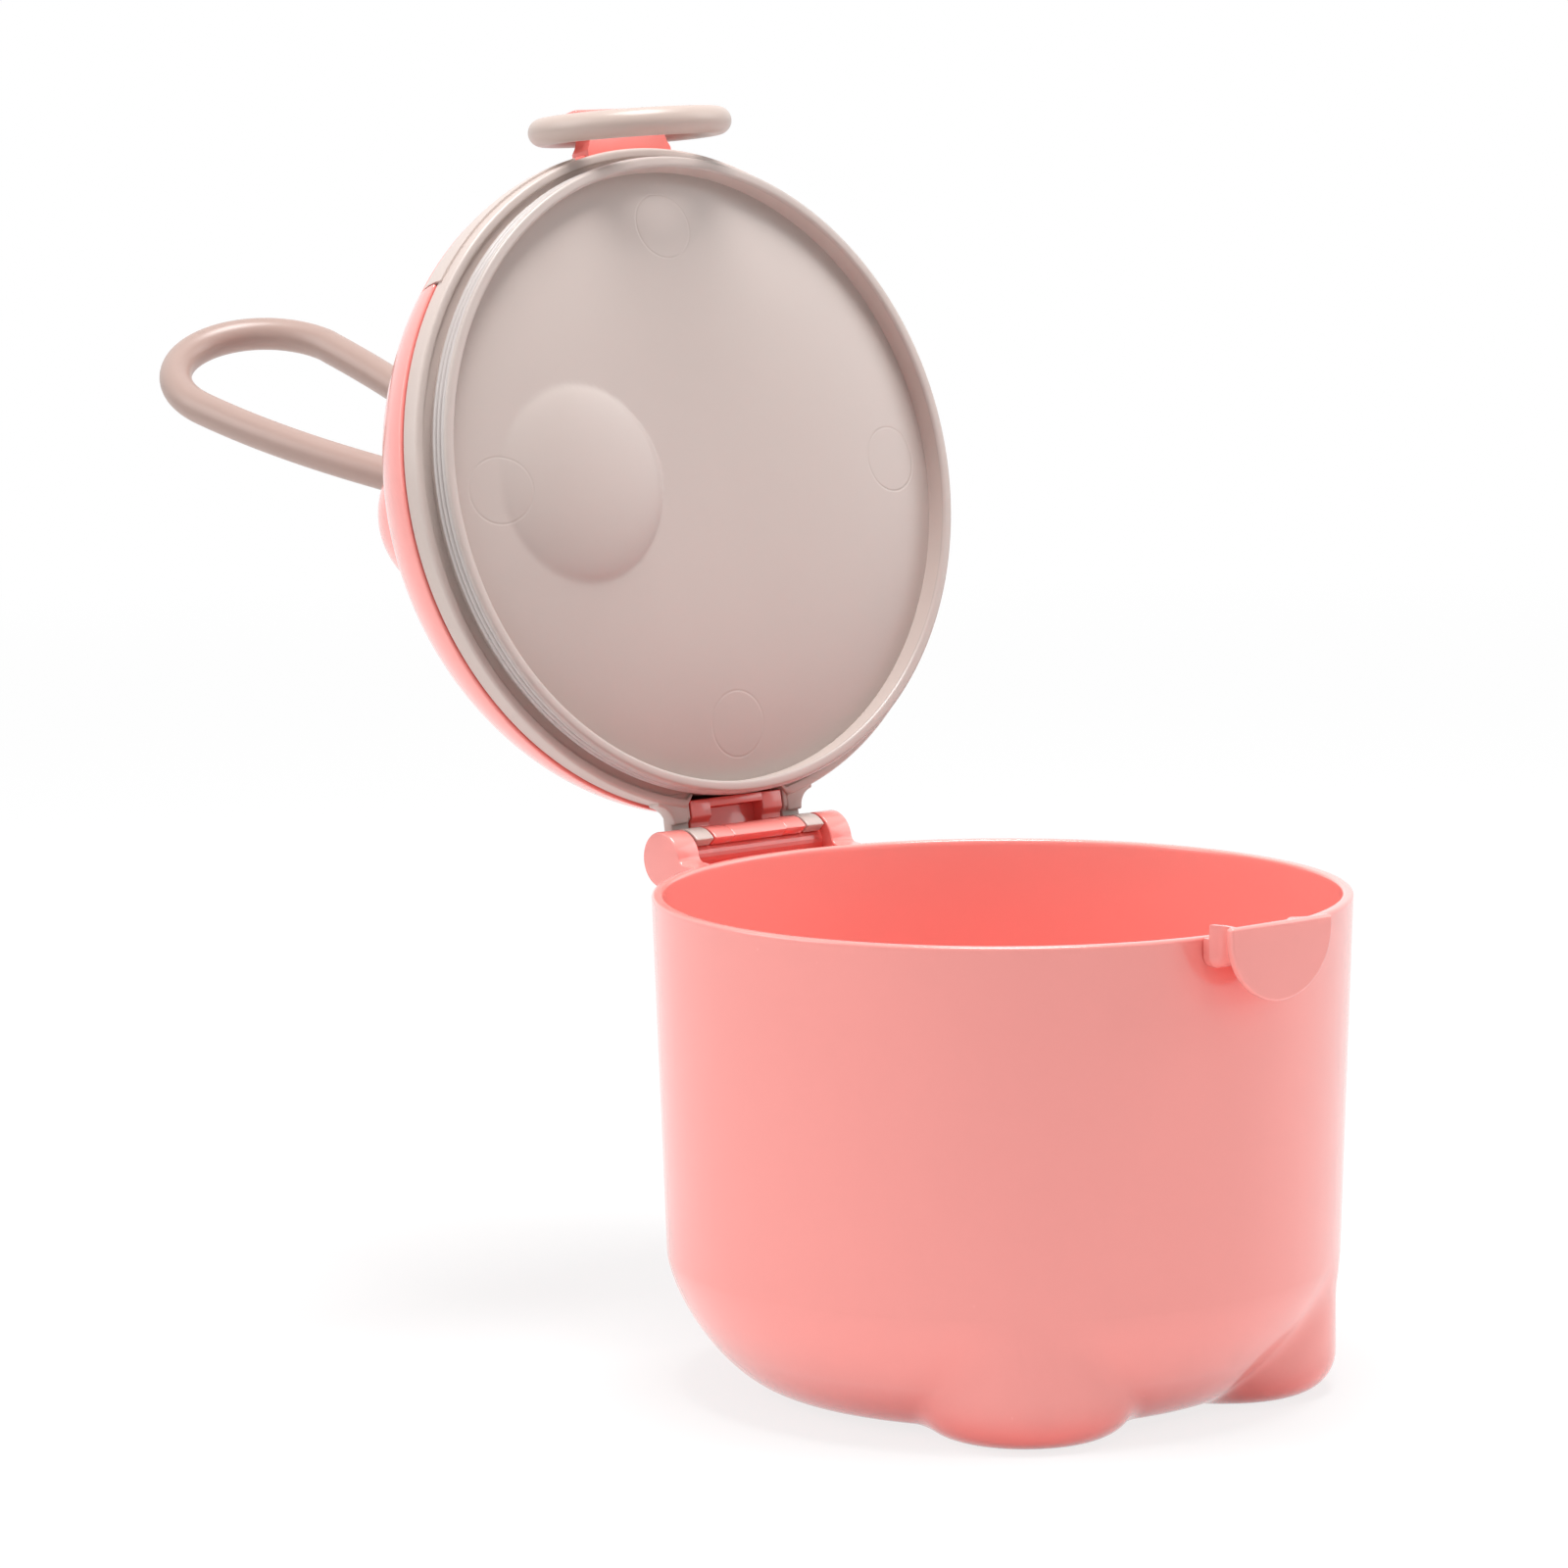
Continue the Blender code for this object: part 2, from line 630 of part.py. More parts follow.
def make_loop(material, washer_material, hinge, seam):
    swivel = marker("loop_swivel", hinge, (seam[0], seam[1], seam[2] + dome_height),
                    (0, 0, math.radians(loop_turn)))
    loop = solid("carry_loop", tube("carry_loop", loop_path(), loop_bar), material, swivel)
    add(loop, "loop_stem", turned("loop_stem", stem_outline(), small_steps))
    high = -shell_wall - boss_depth - gap
    inner = stem_radius + gap
    section = [(inner, high - washer_thickness), (washer_radius, high - washer_thickness),
               (washer_radius, high), (inner, high)]
    solid("loop_retainer", turned("loop_retainer", section, small_steps), washer_material, swivel)
    return loop


pink = plastic("pink_plastic", (1.0, 0.42, 0.38), 0.25)
beige = plastic("beige_plastic", (0.62, 0.50, 0.45), 0.35)
clear = plastic("seal_silicone", (0.72, 0.68, 0.66), 0.4, transmission=0.3)
hinge_axis = marker("lid_hinge", None, (0, hinge_reach, pot_height - hinge_drop),
                    (-math.radians(open_angle), 0, 0))
seam_place = (0, -hinge_reach, seam_over_pin)
make_pot(pink)
make_pin(pink)
make_liner(beige, hinge_axis, seam_place)
make_seal(clear, hinge_axis, seam_place)
make_shell(pink, hinge_axis, seam_place)
make_ring(beige, hinge_axis, seam_place)
make_loop(beige, beige, hinge_axis, seam_place)
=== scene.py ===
import math

import bmesh
import bpy
import numpy as np
from mathutils import Matrix, Vector


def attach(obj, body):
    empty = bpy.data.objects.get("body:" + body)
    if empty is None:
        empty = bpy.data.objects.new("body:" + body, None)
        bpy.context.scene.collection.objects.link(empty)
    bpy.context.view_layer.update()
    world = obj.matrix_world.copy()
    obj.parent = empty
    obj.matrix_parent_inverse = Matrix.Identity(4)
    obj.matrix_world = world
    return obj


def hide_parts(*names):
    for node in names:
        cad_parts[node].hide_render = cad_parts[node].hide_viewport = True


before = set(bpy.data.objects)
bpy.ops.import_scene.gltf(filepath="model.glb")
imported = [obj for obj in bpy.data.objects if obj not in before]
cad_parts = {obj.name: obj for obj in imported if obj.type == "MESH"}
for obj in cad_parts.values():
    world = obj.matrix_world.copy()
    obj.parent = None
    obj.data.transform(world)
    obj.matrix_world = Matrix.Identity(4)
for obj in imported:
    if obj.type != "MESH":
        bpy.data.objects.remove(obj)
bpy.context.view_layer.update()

# Places shared by the pieces, in metres; the lid stands open on its pin
hinge = {"y": 0.0565, "z": 0.0707, "open": 102.72}
lidSeam = Vector((0, -0.0565, 0.0040))      # from the pin to the middle of the seam, lid shut
hingePlace = Matrix.Translation((0, hinge["y"], hinge["z"]))
pinFrame = hingePlace @ Matrix.Rotation(-math.radians(hinge["open"]), 4, "X")
lidFrame = pinFrame @ Matrix.Translation(lidSeam)
sharpAngle = math.radians(38)      # steeper edges stay sharp in the shading


# Mesh helpers

def finishPart(bm):
    bmesh.ops.remove_doubles(bm, verts=bm.verts, dist=1e-7)
    bmesh.ops.recalc_face_normals(bm, faces=bm.faces)
    return bm


def turnedPart(outline, steps, first=0.0, sweep=360.0):
    # a closed outline of (radius, height) turned round Z
    bm = bmesh.new()
    whole = sweep >= 360
    columns = []
    for step in range(steps if whole else steps + 1):
        angle = math.radians(first + sweep * step / steps)
        columns.append([bm.verts.new((r * math.cos(angle), r * math.sin(angle), z))
                        for r, z in outline])
    pairs = list(zip(columns, columns[1:])) + ([(columns[-1], columns[0])] if whole else [])
    count = len(outline)
    for near, far in pairs:
        for i in range(count):
            j = (i + 1) % count
            if outline[i][0] < 1e-9 and outline[j][0] < 1e-9:
                continue
            if outline[i][0] < 1e-9:
                bm.faces.new((near[i], near[j], far[j]))
            elif outline[j][0] < 1e-9:
                bm.faces.new((near[i], near[j], far[i]))
            else:
                bm.faces.new((near[i], near[j], far[j], far[i]))
    if not whole:
        bm.faces.new(columns[0])
        bm.faces.new(columns[-1])
    return finishPart(bm)


def prismPart(outline, axis, low, high, rim=0.0, segments=3):
    # a flat outline drawn across an axis and drawn out along it, its rims rounded
    place = {"X": lambda a, b, c: (c, a, b),
             "Y": lambda a, b, c: (a, c, b),
             "Z": lambda a, b, c: (a, b, c)}[axis]
    bm = bmesh.new()
    lower = [bm.verts.new(place(a, b, low)) for a, b in outline]
    upper = [bm.verts.new(place(a, b, high)) for a, b in outline]
    bm.faces.new(lower)
    bm.faces.new(upper)
    count = len(outline)
    for i in range(count):
        j = (i + 1) % count
        bm.faces.new((lower[i], lower[j], upper[j], upper[i]))
    finishPart(bm)
    if rim:
        roundEdges(bm, rim, segments)
    return bm


def roundEdges(bm, width, segments=3, angle=33):
    edges = [e for e in bm.edges if len(e.link_faces) == 2
             and e.calc_face_angle(0) > math.radians(angle)]
    bmesh.ops.bevel(bm, geom=edges, offset=width, offset_type="OFFSET", segments=segments,
                    profile=0.5, affect="EDGES", clamp_overlap=True)


def arcPoints(centre, radius, first, last, steps):
    return [(centre[0] + radius * math.cos(math.radians(first + (last - first) * i / steps)),
             centre[1] + radius * math.sin(math.radians(first + (last - first) * i / steps)))
            for i in range(steps + 1)]


def makePiece(name, parts, material, place=Matrix.Identity(4)):
    # parts become one piece at rest in the row frame; each part may carry its own place
    bm = bmesh.new()
    for part in parts:
        own = Matrix.Identity(4)
        if isinstance(part, tuple):
            part, own = part
        mesh = bpy.data.meshes.new("part")
        part.transform(place @ own)
        part.to_mesh(mesh)
        bm.from_mesh(mesh)
        part.free()
        bpy.data.meshes.remove(mesh)
    mesh = bpy.data.meshes.new(name)
    bm.to_mesh(mesh)
    bm.free()
    mesh.shade_smooth()
    mesh.set_sharp_from_angle(angle=sharpAngle)
    mesh.materials.append(material)
    piece = bpy.data.objects.new(name, mesh)
    bpy.context.scene.collection.objects.link(piece)
    return piece


def gridPart(points):
    # rows of points (rows, columns, 3), closed round the columns
    rows, columns = points.shape[:2]
    bm = bmesh.new()
    made = [[bm.verts.new(points[i, j]) for j in range(columns)] for i in range(rows)]
    for i in range(rows - 1):
        for j in range(columns):
            k = (j + 1) % columns
            bm.faces.new((made[i][j], made[i][k], made[i + 1][k], made[i + 1][j]))
    return bm


def capEnds(bm, rows):
    # a loft's first and last row become its end faces
    for row in (rows[0], rows[-1]):
        bm.faces.new([bm.verts.new(point) for point in row])
    return finishPart(bm)


def closePoles(bm, around):
    # a turned surface's first and last row shrink to their middles
    bm.verts.ensure_lookup_table()
    for row in (list(bm.verts[:around]), list(bm.verts[-around:])):
        middle = sum((v.co for v in row), Vector()) / around
        bmesh.ops.pointmerge(bm, verts=row, merge_co=middle)
    return finishPart(bm)


def spunRows(outline, angles):
    # rows of points from an outline of (radius, height), one point at each angle
    radius, height = outline[:, 0][:, None], outline[:, 1][:, None]
    return np.stack([radius * np.cos(angles), radius * np.sin(angles),
                     height * np.ones(len(angles))], axis=-1)


def addMesh(piece, extra):
    # the extra piece's mesh becomes part of the first
    bm = bmesh.new()
    bm.from_mesh(piece.data)
    bm.from_mesh(extra.data)
    bm.to_mesh(piece.data)
    bm.free()
    bpy.data.objects.remove(extra)


def outward(piece):
    bm = bmesh.new()
    bm.from_mesh(piece.data)
    bmesh.ops.recalc_face_normals(bm, faces=bm.faces)
    bm.to_mesh(piece.data)
    bm.free()
    return piece


# Node helpers

def mathNode(tree, operation, *values):
    node = tree.nodes.new("ShaderNodeMath")
    node.operation = operation
    for socket, value in zip(node.inputs, values):
        if isinstance(value, bpy.types.NodeSocket):
            tree.links.new(value, socket)
        else:
            socket.default_value = value
    return node.outputs[0]


def newTree(name, inputs):
    tree = bpy.data.node_groups.new(name, "GeometryNodeTree")
    tree.interface.new_socket("Geometry", in_out="INPUT", socket_type="NodeSocketGeometry")
    for label, kind, value in inputs:
        socket = tree.interface.new_socket(label, in_out="INPUT", socket_type="NodeSocket" + kind)
        if value is not None:
            socket.default_value = value
    tree.interface.new_socket("Geometry", in_out="OUTPUT", socket_type="NodeSocketGeometry")
    return tree, tree.nodes.new("NodeGroupInput").outputs, tree.nodes.new("NodeGroupOutput").inputs


def sweepBar(tree, path, given):
    # a round bar along a curve
    section = tree.nodes.new("GeometryNodeCurvePrimitiveCircle")
    tree.links.new(given["Around"], section.inputs["Resolution"])
    tree.links.new(given["Bar"], section.inputs["Radius"])
    sweep = tree.nodes.new("GeometryNodeCurveToMesh")
    tree.links.new(path, sweep.inputs["Curve"])
    tree.links.new(section.outputs[0], sweep.inputs["Profile Curve"])
    return sweep.outputs[0]


def endTree(tree, socket, given, out):
    # every tree ends in plain mesh that wears its finish
    solid = tree.nodes.new("GeometryNodeRealizeInstances")
    tree.links.new(socket, solid.inputs[0])
    dress = tree.nodes.new("GeometryNodeSetMaterial")
    tree.links.new(solid.outputs[0], dress.inputs["Geometry"])
    tree.links.new(given["Finish"], dress.inputs["Material"])
    tree.links.new(dress.outputs[0], out["Geometry"])
    return tree


def seenDirectly(tree):
    # one where the camera looks, also by way of gloss or clear plastic
    path = tree.nodes.new("ShaderNodeLightPath")
    sheen = mathNode(tree, "MAXIMUM", path.outputs["Is Glossy Ray"],
                     path.outputs["Is Transmission Ray"])
    return mathNode(tree, "MAXIMUM", path.outputs["Is Camera Ray"], sheen)


def runTree(tree, source, name, values, place=Matrix.Identity(4)):
    # grows the tree on a source object and keeps the result as a plain mesh
    modifier = source.modifiers.new("grow", "NODES")
    modifier.node_group = tree
    for item in tree.interface.items_tree:
        if item.in_out == "INPUT" and item.name in values:
            modifier[item.identifier] = values[item.name]
    bpy.context.view_layer.update()
    grown = source.evaluated_get(bpy.context.evaluated_depsgraph_get())
    mesh = bpy.data.meshes.new_from_object(grown)
    source.modifiers.remove(modifier)
    bpy.data.objects.remove(source)
    mesh.name = name
    mesh.materials.clear()
    mesh.materials.append(values["Finish"])
    mesh.polygons.foreach_set("material_index", [0] * len(mesh.polygons))
    mesh.transform(place)
    mesh.shade_smooth()
    mesh.set_sharp_from_angle(angle=sharpAngle)
    piece = bpy.data.objects.new(name, mesh)
    bpy.context.scene.collection.objects.link(piece)
    return piece


# Finishes

def mouldedGroup():
    # fine moulding skin: a slow unevenness, a fine grain and a few light scuffs
    tree = bpy.data.node_groups.new("mouldedSkin", "ShaderNodeTree")
    ports = [("Wave Size", 0.02), ("Grain Size", 0.0006), ("Wave Height", 0.5),
             ("Grain Height", 0.1), ("Base Roughness", 0.25), ("Roughness Spread", 0.06),
             ("Tint Spread", 0.03)]
    for label, value in ports:
        socket = tree.interface.new_socket(label, in_out="INPUT", socket_type="NodeSocketFloat")
        socket.default_value = value
    for label in ("Height", "Roughness", "Tint", "Scuff"):
        tree.interface.new_socket(label, in_out="OUTPUT", socket_type="NodeSocketFloat")
    given = tree.nodes.new("NodeGroupInput").outputs
    out = tree.nodes.new("NodeGroupOutput").inputs
    where = tree.nodes.new("ShaderNodeTexCoord").outputs["Object"]

    def noise(size, detail, rough=0.5):
        node = tree.nodes.new("ShaderNodeTexNoise")
        node.inputs["Detail"].default_value = detail
        node.inputs["Roughness"].default_value = rough
        tree.links.new(where, node.inputs["Vector"])
        tree.links.new(mathNode(tree, "DIVIDE", 1.0, size), node.inputs["Scale"])
        return node.outputs["Fac"]

    wave = mathNode(tree, "SUBTRACT", noise(given["Wave Size"], 2.0), 0.5)
    grain = mathNode(tree, "SUBTRACT", noise(given["Grain Size"], 3.0, 0.6), 0.5)
    height = mathNode(tree, "ADD", mathNode(tree, "MULTIPLY", wave, given["Wave Height"]),
                      mathNode(tree, "MULTIPLY", grain, given["Grain Height"]))
    tree.links.new(height, out["Height"])
    stretch = tree.nodes.new("ShaderNodeVectorMath")   # scuffs run long and thin
    stretch.operation = "MULTIPLY"
    tree.links.new(where, stretch.inputs[0])
    stretch.inputs[1].default_value = (90, 700, 260)
    fine = tree.nodes.new("ShaderNodeTexNoise")
    fine.inputs["Scale"].default_value = 1.0
    fine.inputs["Detail"].default_value = 4.0
    tree.links.new(stretch.outputs[0], fine.inputs["Vector"])
    scuff = tree.nodes.new("ShaderNodeMapRange")
    scuff.inputs["From Min"].default_value = 0.66
    scuff.inputs["From Max"].default_value = 0.80
    tree.links.new(fine.outputs["Fac"], scuff.inputs["Value"])
    tree.links.new(scuff.outputs[0], out["Scuff"])
    rough = mathNode(tree, "MULTIPLY_ADD", wave, given["Roughness Spread"], given["Base Roughness"])
    rough = mathNode(tree, "MULTIPLY_ADD", scuff.outputs[0], given["Roughness Spread"], rough)
    tree.links.new(rough, out["Roughness"])
    tree.links.new(mathNode(tree, "MULTIPLY_ADD", wave, given["Tint Spread"], 1.0), out["Tint"])
    return tree


mouldedSkin = mouldedGroup()


def srgb(*values):
    # colours are written as 0 to 255 and leave as linear light
    return tuple((v / 255 / 12.92) if v / 255 <= 0.04045 else ((v / 255 + 0.055) / 1.055) ** 2.4
                 for v in values)


def makeFinish(name, look):
    material = bpy.data.materials.new(name)
    material.use_nodes = True
    tree = material.node_tree
    shader = tree.nodes["Principled BSDF"]
    for label, value in look["shader"].items():
        shader.inputs[label].default_value = value
    skin = tree.nodes.new("ShaderNodeGroup")
    skin.node_tree = mouldedSkin
    for label, value in look["skin"].items():
        skin.inputs[label].default_value = value
    tint = tree.nodes.new("ShaderNodeVectorMath")
    tint.operation = "SCALE"
    tint.inputs[0].default_value = srgb(*look["colour"])
    tree.links.new(skin.outputs["Tint"], tint.inputs["Scale"])
    tree.links.new(tint.outputs[0], shader.inputs["Base Color"])
    tree.links.new(skin.outputs["Roughness"], shader.inputs["Roughness"])
    bump = tree.nodes.new("ShaderNodeBump")
    bump.inputs["Strength"].default_value = look["bump"]
    bump.inputs["Distance"].default_value = look["depth"]
    tree.links.new(skin.outputs["Height"], bump.inputs["Height"])
    tree.links.new(bump.outputs["Normal"], shader.inputs["Normal"])
    material.diffuse_color = (*srgb(*look["colour"]), 1)
    return material


pinkLook = {
    "colour": (243, 150, 143), "bump": 0.5, "depth": 0.00004,
    "skin": {"Wave Size": 0.03, "Grain Size": 0.0011, "Wave Height": 1.0, "Grain Height": 0.05,
             "Base Roughness": 0.20, "Roughness Spread": 0.10, "Tint Spread": 0.05},
    "shader": {"Specular IOR Level": 0.5, "IOR": 1.49, "Coat Weight": 0.5, "Coat Roughness": 0.08}}
beigeLook = {
    "colour": (198, 183, 176), "bump": 0.5, "depth": 0.00004,
    "skin": {"Wave Size": 0.018, "Grain Size": 0.0009, "Wave Height": 1.0, "Grain Height": 0.10,
             "Base Roughness": 0.34, "Roughness Spread": 0.10, "Tint Spread": 0.05},
    "shader": {"Specular IOR Level": 0.5, "IOR": 1.49}}
sealLook = {
    "colour": (198, 189, 186), "bump": 0.4, "depth": 0.00003,
    "skin": {"Wave Size": 0.01, "Grain Size": 0.0006, "Wave Height": 0.6, "Grain Height": 0.2,
             "Base Roughness": 0.30, "Roughness Spread": 0.12, "Tint Spread": 0.05},
    "shader": {"Specular IOR Level": 0.5, "IOR": 1.41, "Transmission Weight": 0.15}}
# painted shade: the disc and the lip wear a darker copy of the liner's beige, so the lamp-facing
# disc comes out no brighter than the band
shadedDiscLook = dict(beigeLook, colour=(186, 173, 167))
# painted light: the inside of the pot wears a lighter copy of the pink, standing in for the light
# that falls inside it
litInsideLook = dict(pinkLook, colour=(251, 161, 153))
loopLook = dict(beigeLook, colour=(166, 142, 133))
ringLook = dict(beigeLook, colour=(188, 170, 161))

pink = makeFinish("pinkPlastic", pinkLook)
litInsideFinish = makeFinish("insidePlasticPaintedLight", litInsideLook)
beige = makeFinish("beigePlastic", beigeLook)
clear = makeFinish("sealSilicone", sealLook)
shadedDiscFinish = makeFinish("discPlasticPaintedShade", shadedDiscLook)
loopBeige = makeFinish("loopPlastic", loopLook)
ringBeige = makeFinish("ringPlastic", ringLook)


def padRings(material, size):
    # four round ejector pads in the lid's frame, each a shallow ring in the bump's height
    tree = material.node_tree
    bump = next(node for node in tree.nodes if node.type == "BUMP")
    where = tree.nodes.new("ShaderNodeTexCoord").outputs["Object"]
    moved = tree.nodes.new("ShaderNodeVectorMath")
    moved.operation = "SUBTRACT"
    tree.links.new(where, moved.inputs[0])
    moved.inputs[1].default_value = lidFrame.translation
    sides = []
    for axis in (0, 1):
        along = tree.nodes.new("ShaderNodeVectorMath")
        along.operation = "DOT_PRODUCT"
        tree.links.new(moved.outputs[0], along.inputs[0])
        along.inputs[1].default_value = lidFrame.to_3x3().col[axis]
        sides.append(mathNode(tree, "ABSOLUTE", along.outputs["Value"]))
    far = mathNode(tree, "SUBTRACT", mathNode(tree, "MAXIMUM", *sides), size["reach"])
    near = mathNode(tree, "MINIMUM", *sides)
    away = mathNode(tree, "SQRT", mathNode(tree, "ADD", mathNode(tree, "MULTIPLY", far, far),
                                           mathNode(tree, "MULTIPLY", near, near)))
    edge = mathNode(tree, "ABSOLUTE", mathNode(tree, "SUBTRACT", away, size["radius"]))
    ring = tree.nodes.new("ShaderNodeMapRange")
    ring.interpolation_type = "SMOOTHSTEP"
    ring.inputs["From Max"].default_value = size["width"]
    ring.inputs["To Min"].default_value = size["depth"]
    ring.inputs["To Max"].default_value = 0.0
    tree.links.new(edge, ring.inputs["Value"])
    own = bump.inputs["Height"].links[0].from_socket
    tree.links.new(mathNode(tree, "SUBTRACT", own, ring.outputs[0]), bump.inputs["Height"])


def paintedCornerShade(material, size):
    # painted shade: the pink turns deeper red where its faces sit close together (corners,
    # recesses, slots), standing in for light bounced between the thin pink faces
    tree = material.node_tree
    shader = tree.nodes["Principled BSDF"]
    own = shader.inputs["Base Color"].links[0].from_socket
    near = tree.nodes.new("ShaderNodeAmbientOcclusion")
    near.samples = 8
    near.inputs["Distance"].default_value = size["reach"]
    blend = tree.nodes.new("ShaderNodeMix")
    blend.data_type = "RGBA"
    tree.links.new(near.outputs["AO"], blend.inputs["Factor"])
    blend.inputs["A"].default_value = (*srgb(*size["colour"]), 1)
    tree.links.new(own, blend.inputs["B"])
    tree.links.new(blend.outputs["Result"], shader.inputs["Base Color"])


# painted shade: (240, 92, 82) is the red painted into the pink's corners and recesses within 8 mm
# of other faces
paintedCornerShade(pink, {"colour": (240, 92, 82), "reach": 0.008})
padRings(shadedDiscFinish, {"reach": 0.0378, "radius": 0.00495, "width": 0.00028, "depth": 1.6})
print("finishes made")


# Pot: a turned wall whose round corner swells into three feet

potSizes = {"radius": 0.0500, "height": 0.0710, "wall": 0.0016, "floor": 0.0018, "draft": 0.032,
            "cornerHeight": 0.0182, "cornerWidth": 0.0137, "cornerPower": 1.456, "footDrop": 0.0010,
            "footRadius": 0.0157, "footEdge": 0.0056, "footInset": 0.0003, "footBlend": 0.0014,
            "footTop": 0.0030, "footAngles": (-126.9, -53.1, 90.0), "padRadius": 0.0200,
            "padTop": 0.004, "lip": 0.00045, "pole": 0.0006, "aim": 0.03, "around": 384}


def potWall():
    p = potSizes
    cornerTop = p["footDrop"] + p["cornerHeight"]
    cornerRadius = p["radius"] - p["draft"] * (p["height"] - cornerTop)
    floorRadius = cornerRadius - p["cornerWidth"]

    def wallRadius(z):
        return cornerRadius + p["draft"] * (z - cornerTop)

    def corner(a):
        return math.cos(a) ** (2 / p["cornerPower"]), math.sin(a) ** (2 / p["cornerPower"])

    lip = p["lip"]
    lipAngles = np.radians([0, 22, 45, 68, 90])
    belowLip = p["height"] - 0.001
    outline = [(p["radius"] - lip + lip * math.sin(a), p["height"] - lip + lip * math.cos(a))
               for a in lipAngles]
    outline += [(wallRadius(z), z) for z in np.linspace(belowLip, cornerTop, 26)]
    for a in np.linspace(0, math.pi / 2, 44)[1:]:
        across, down = corner(a)
        outline.append((floorRadius + p["cornerWidth"] * max(across, 0),
                        cornerTop - p["cornerHeight"] * down))
    outline += [(r, p["footDrop"]) for r in np.linspace(floorRadius, p["pole"], 22)[1:]]
    outline = np.array(outline)

    # each point looks for the surface along a ray from the axis, level above the aim height
    angles = np.radians(np.arange(p["around"]) * 360 / p["around"])
    start = np.where(outline[:, 1] > p["aim"], outline[:, 1], p["aim"])
    aimR = outline[:, 0][:, None] * np.ones(len(angles))
    aimZ = (outline[:, 1] - start)[:, None] * np.ones(len(angles))
    reach = np.hypot(aimR, aimZ)
    dx, dy = aimR / reach * np.cos(angles), aimR / reach * np.sin(angles)
    dz = aimZ / reach
    z0 = start[:, None]

    def bodyDistance(r, z):
        power = p["cornerPower"]
        width = np.where(z > cornerTop, wallRadius(z) - floorRadius, p["cornerWidth"])
        u = np.maximum(r - floorRadius, 1e-9) / width
        v = np.maximum(cornerTop - z, 1e-9) / p["cornerHeight"]
        size = (u ** power + v ** power) ** (1 / power)
        slope = np.hypot((u / size) ** (power - 1) / width,
                         (v / size) ** (power - 1) / p["cornerHeight"])
        return (size - 1) / slope

    def footDistance(x, y, z, degrees):
        stand = cornerRadius - p["footRadius"] - p["footInset"]
        cx, cy = stand * math.cos(math.radians(degrees)), stand * math.sin(math.radians(degrees))
        top = cornerTop + p["footTop"]
        across = np.hypot(x - cx, y - cy) - (p["footRadius"] - p["footEdge"])
        along = np.maximum(p["footEdge"] - z, z - (top - p["footEdge"]))
        outside = np.hypot(np.maximum(across, 0), np.maximum(along, 0))
        return outside + np.minimum(np.maximum(across, along), 0) - p["footEdge"]

    def joined(a, b, blend):
        h = np.maximum(blend - np.abs(a - b), 0) / blend
        return np.minimum(a, b) - h * h * blend / 4

    t = reach + 0.014
    lowRows = (outline[:, 1] < p["aim"])[:, None] * np.ones(len(angles), bool)
    for step in range(90):
        x, y, z = t * dx, t * dy, z0 + t * dz
        distance = bodyDistance(np.hypot(x, y), z)
        feet = np.full_like(distance, 1.0)
        for degrees in p["footAngles"]:
            feet = np.minimum(feet, footDistance(x, y, z, degrees))
        pad = np.maximum(np.hypot(x, y) - p["padRadius"], -z)
        feet = np.minimum(feet, np.maximum(pad, z - p["padTop"]))
        distance = joined(distance, feet, p["footBlend"])
        t = t - 0.7 * np.clip(distance, -0.004, 0.004)
    t = np.where(lowRows, t, reach)
    points = np.stack([t * dx, t * dy, np.maximum(z0 + t * dz, 0)], axis=-1)

    mouth = p["radius"] - p["wall"]
    lining = [(mouth + lip - lip * math.sin(a), p["height"] - lip + lip * math.cos(a))
              for a in lipAngles]
    lining += [(wallRadius(z) - p["wall"], z) for z in np.linspace(belowLip, cornerTop, 14)]
    floorTop = p["footDrop"] + p["floor"]
    for a in np.linspace(0, math.pi / 2, 30)[1:]:
        across, down = corner(a)
        lining.append((floorRadius - p["wall"] + p["cornerWidth"] * across,
                       cornerTop - (cornerTop - floorTop) * down))
    lining += [(r, floorTop) for r in np.linspace(floorRadius - p["wall"], p["pole"], 10)[1:]]
    within = spunRows(np.array(lining)[::-1], angles)
    return closePoles(gridPart(np.concatenate([within, points])), p["around"])


hingeSizes = {"knuckle": 0.0042, "inner": 0.0128, "outer": 0.0169, "fillet": 0.0012,
              "bore": 0.0024, "hook": 0.0042, "tip": 240, "heel": -40, "armInner": 0.0091,
              "armOuter": 0.0124, "armRoot": -0.0090, "armTop": 0.00355, "armFlare": 0.0030,
              "tabHalf": 0.0088, "tabRoot": -0.0083, "tabTop": 0.0062, "windowHalf": 0.0051,
              "windowTop": 0.0036, "shelfInset": 0.002, "wallInside": 0.0492, "wallDraft": 0.03}


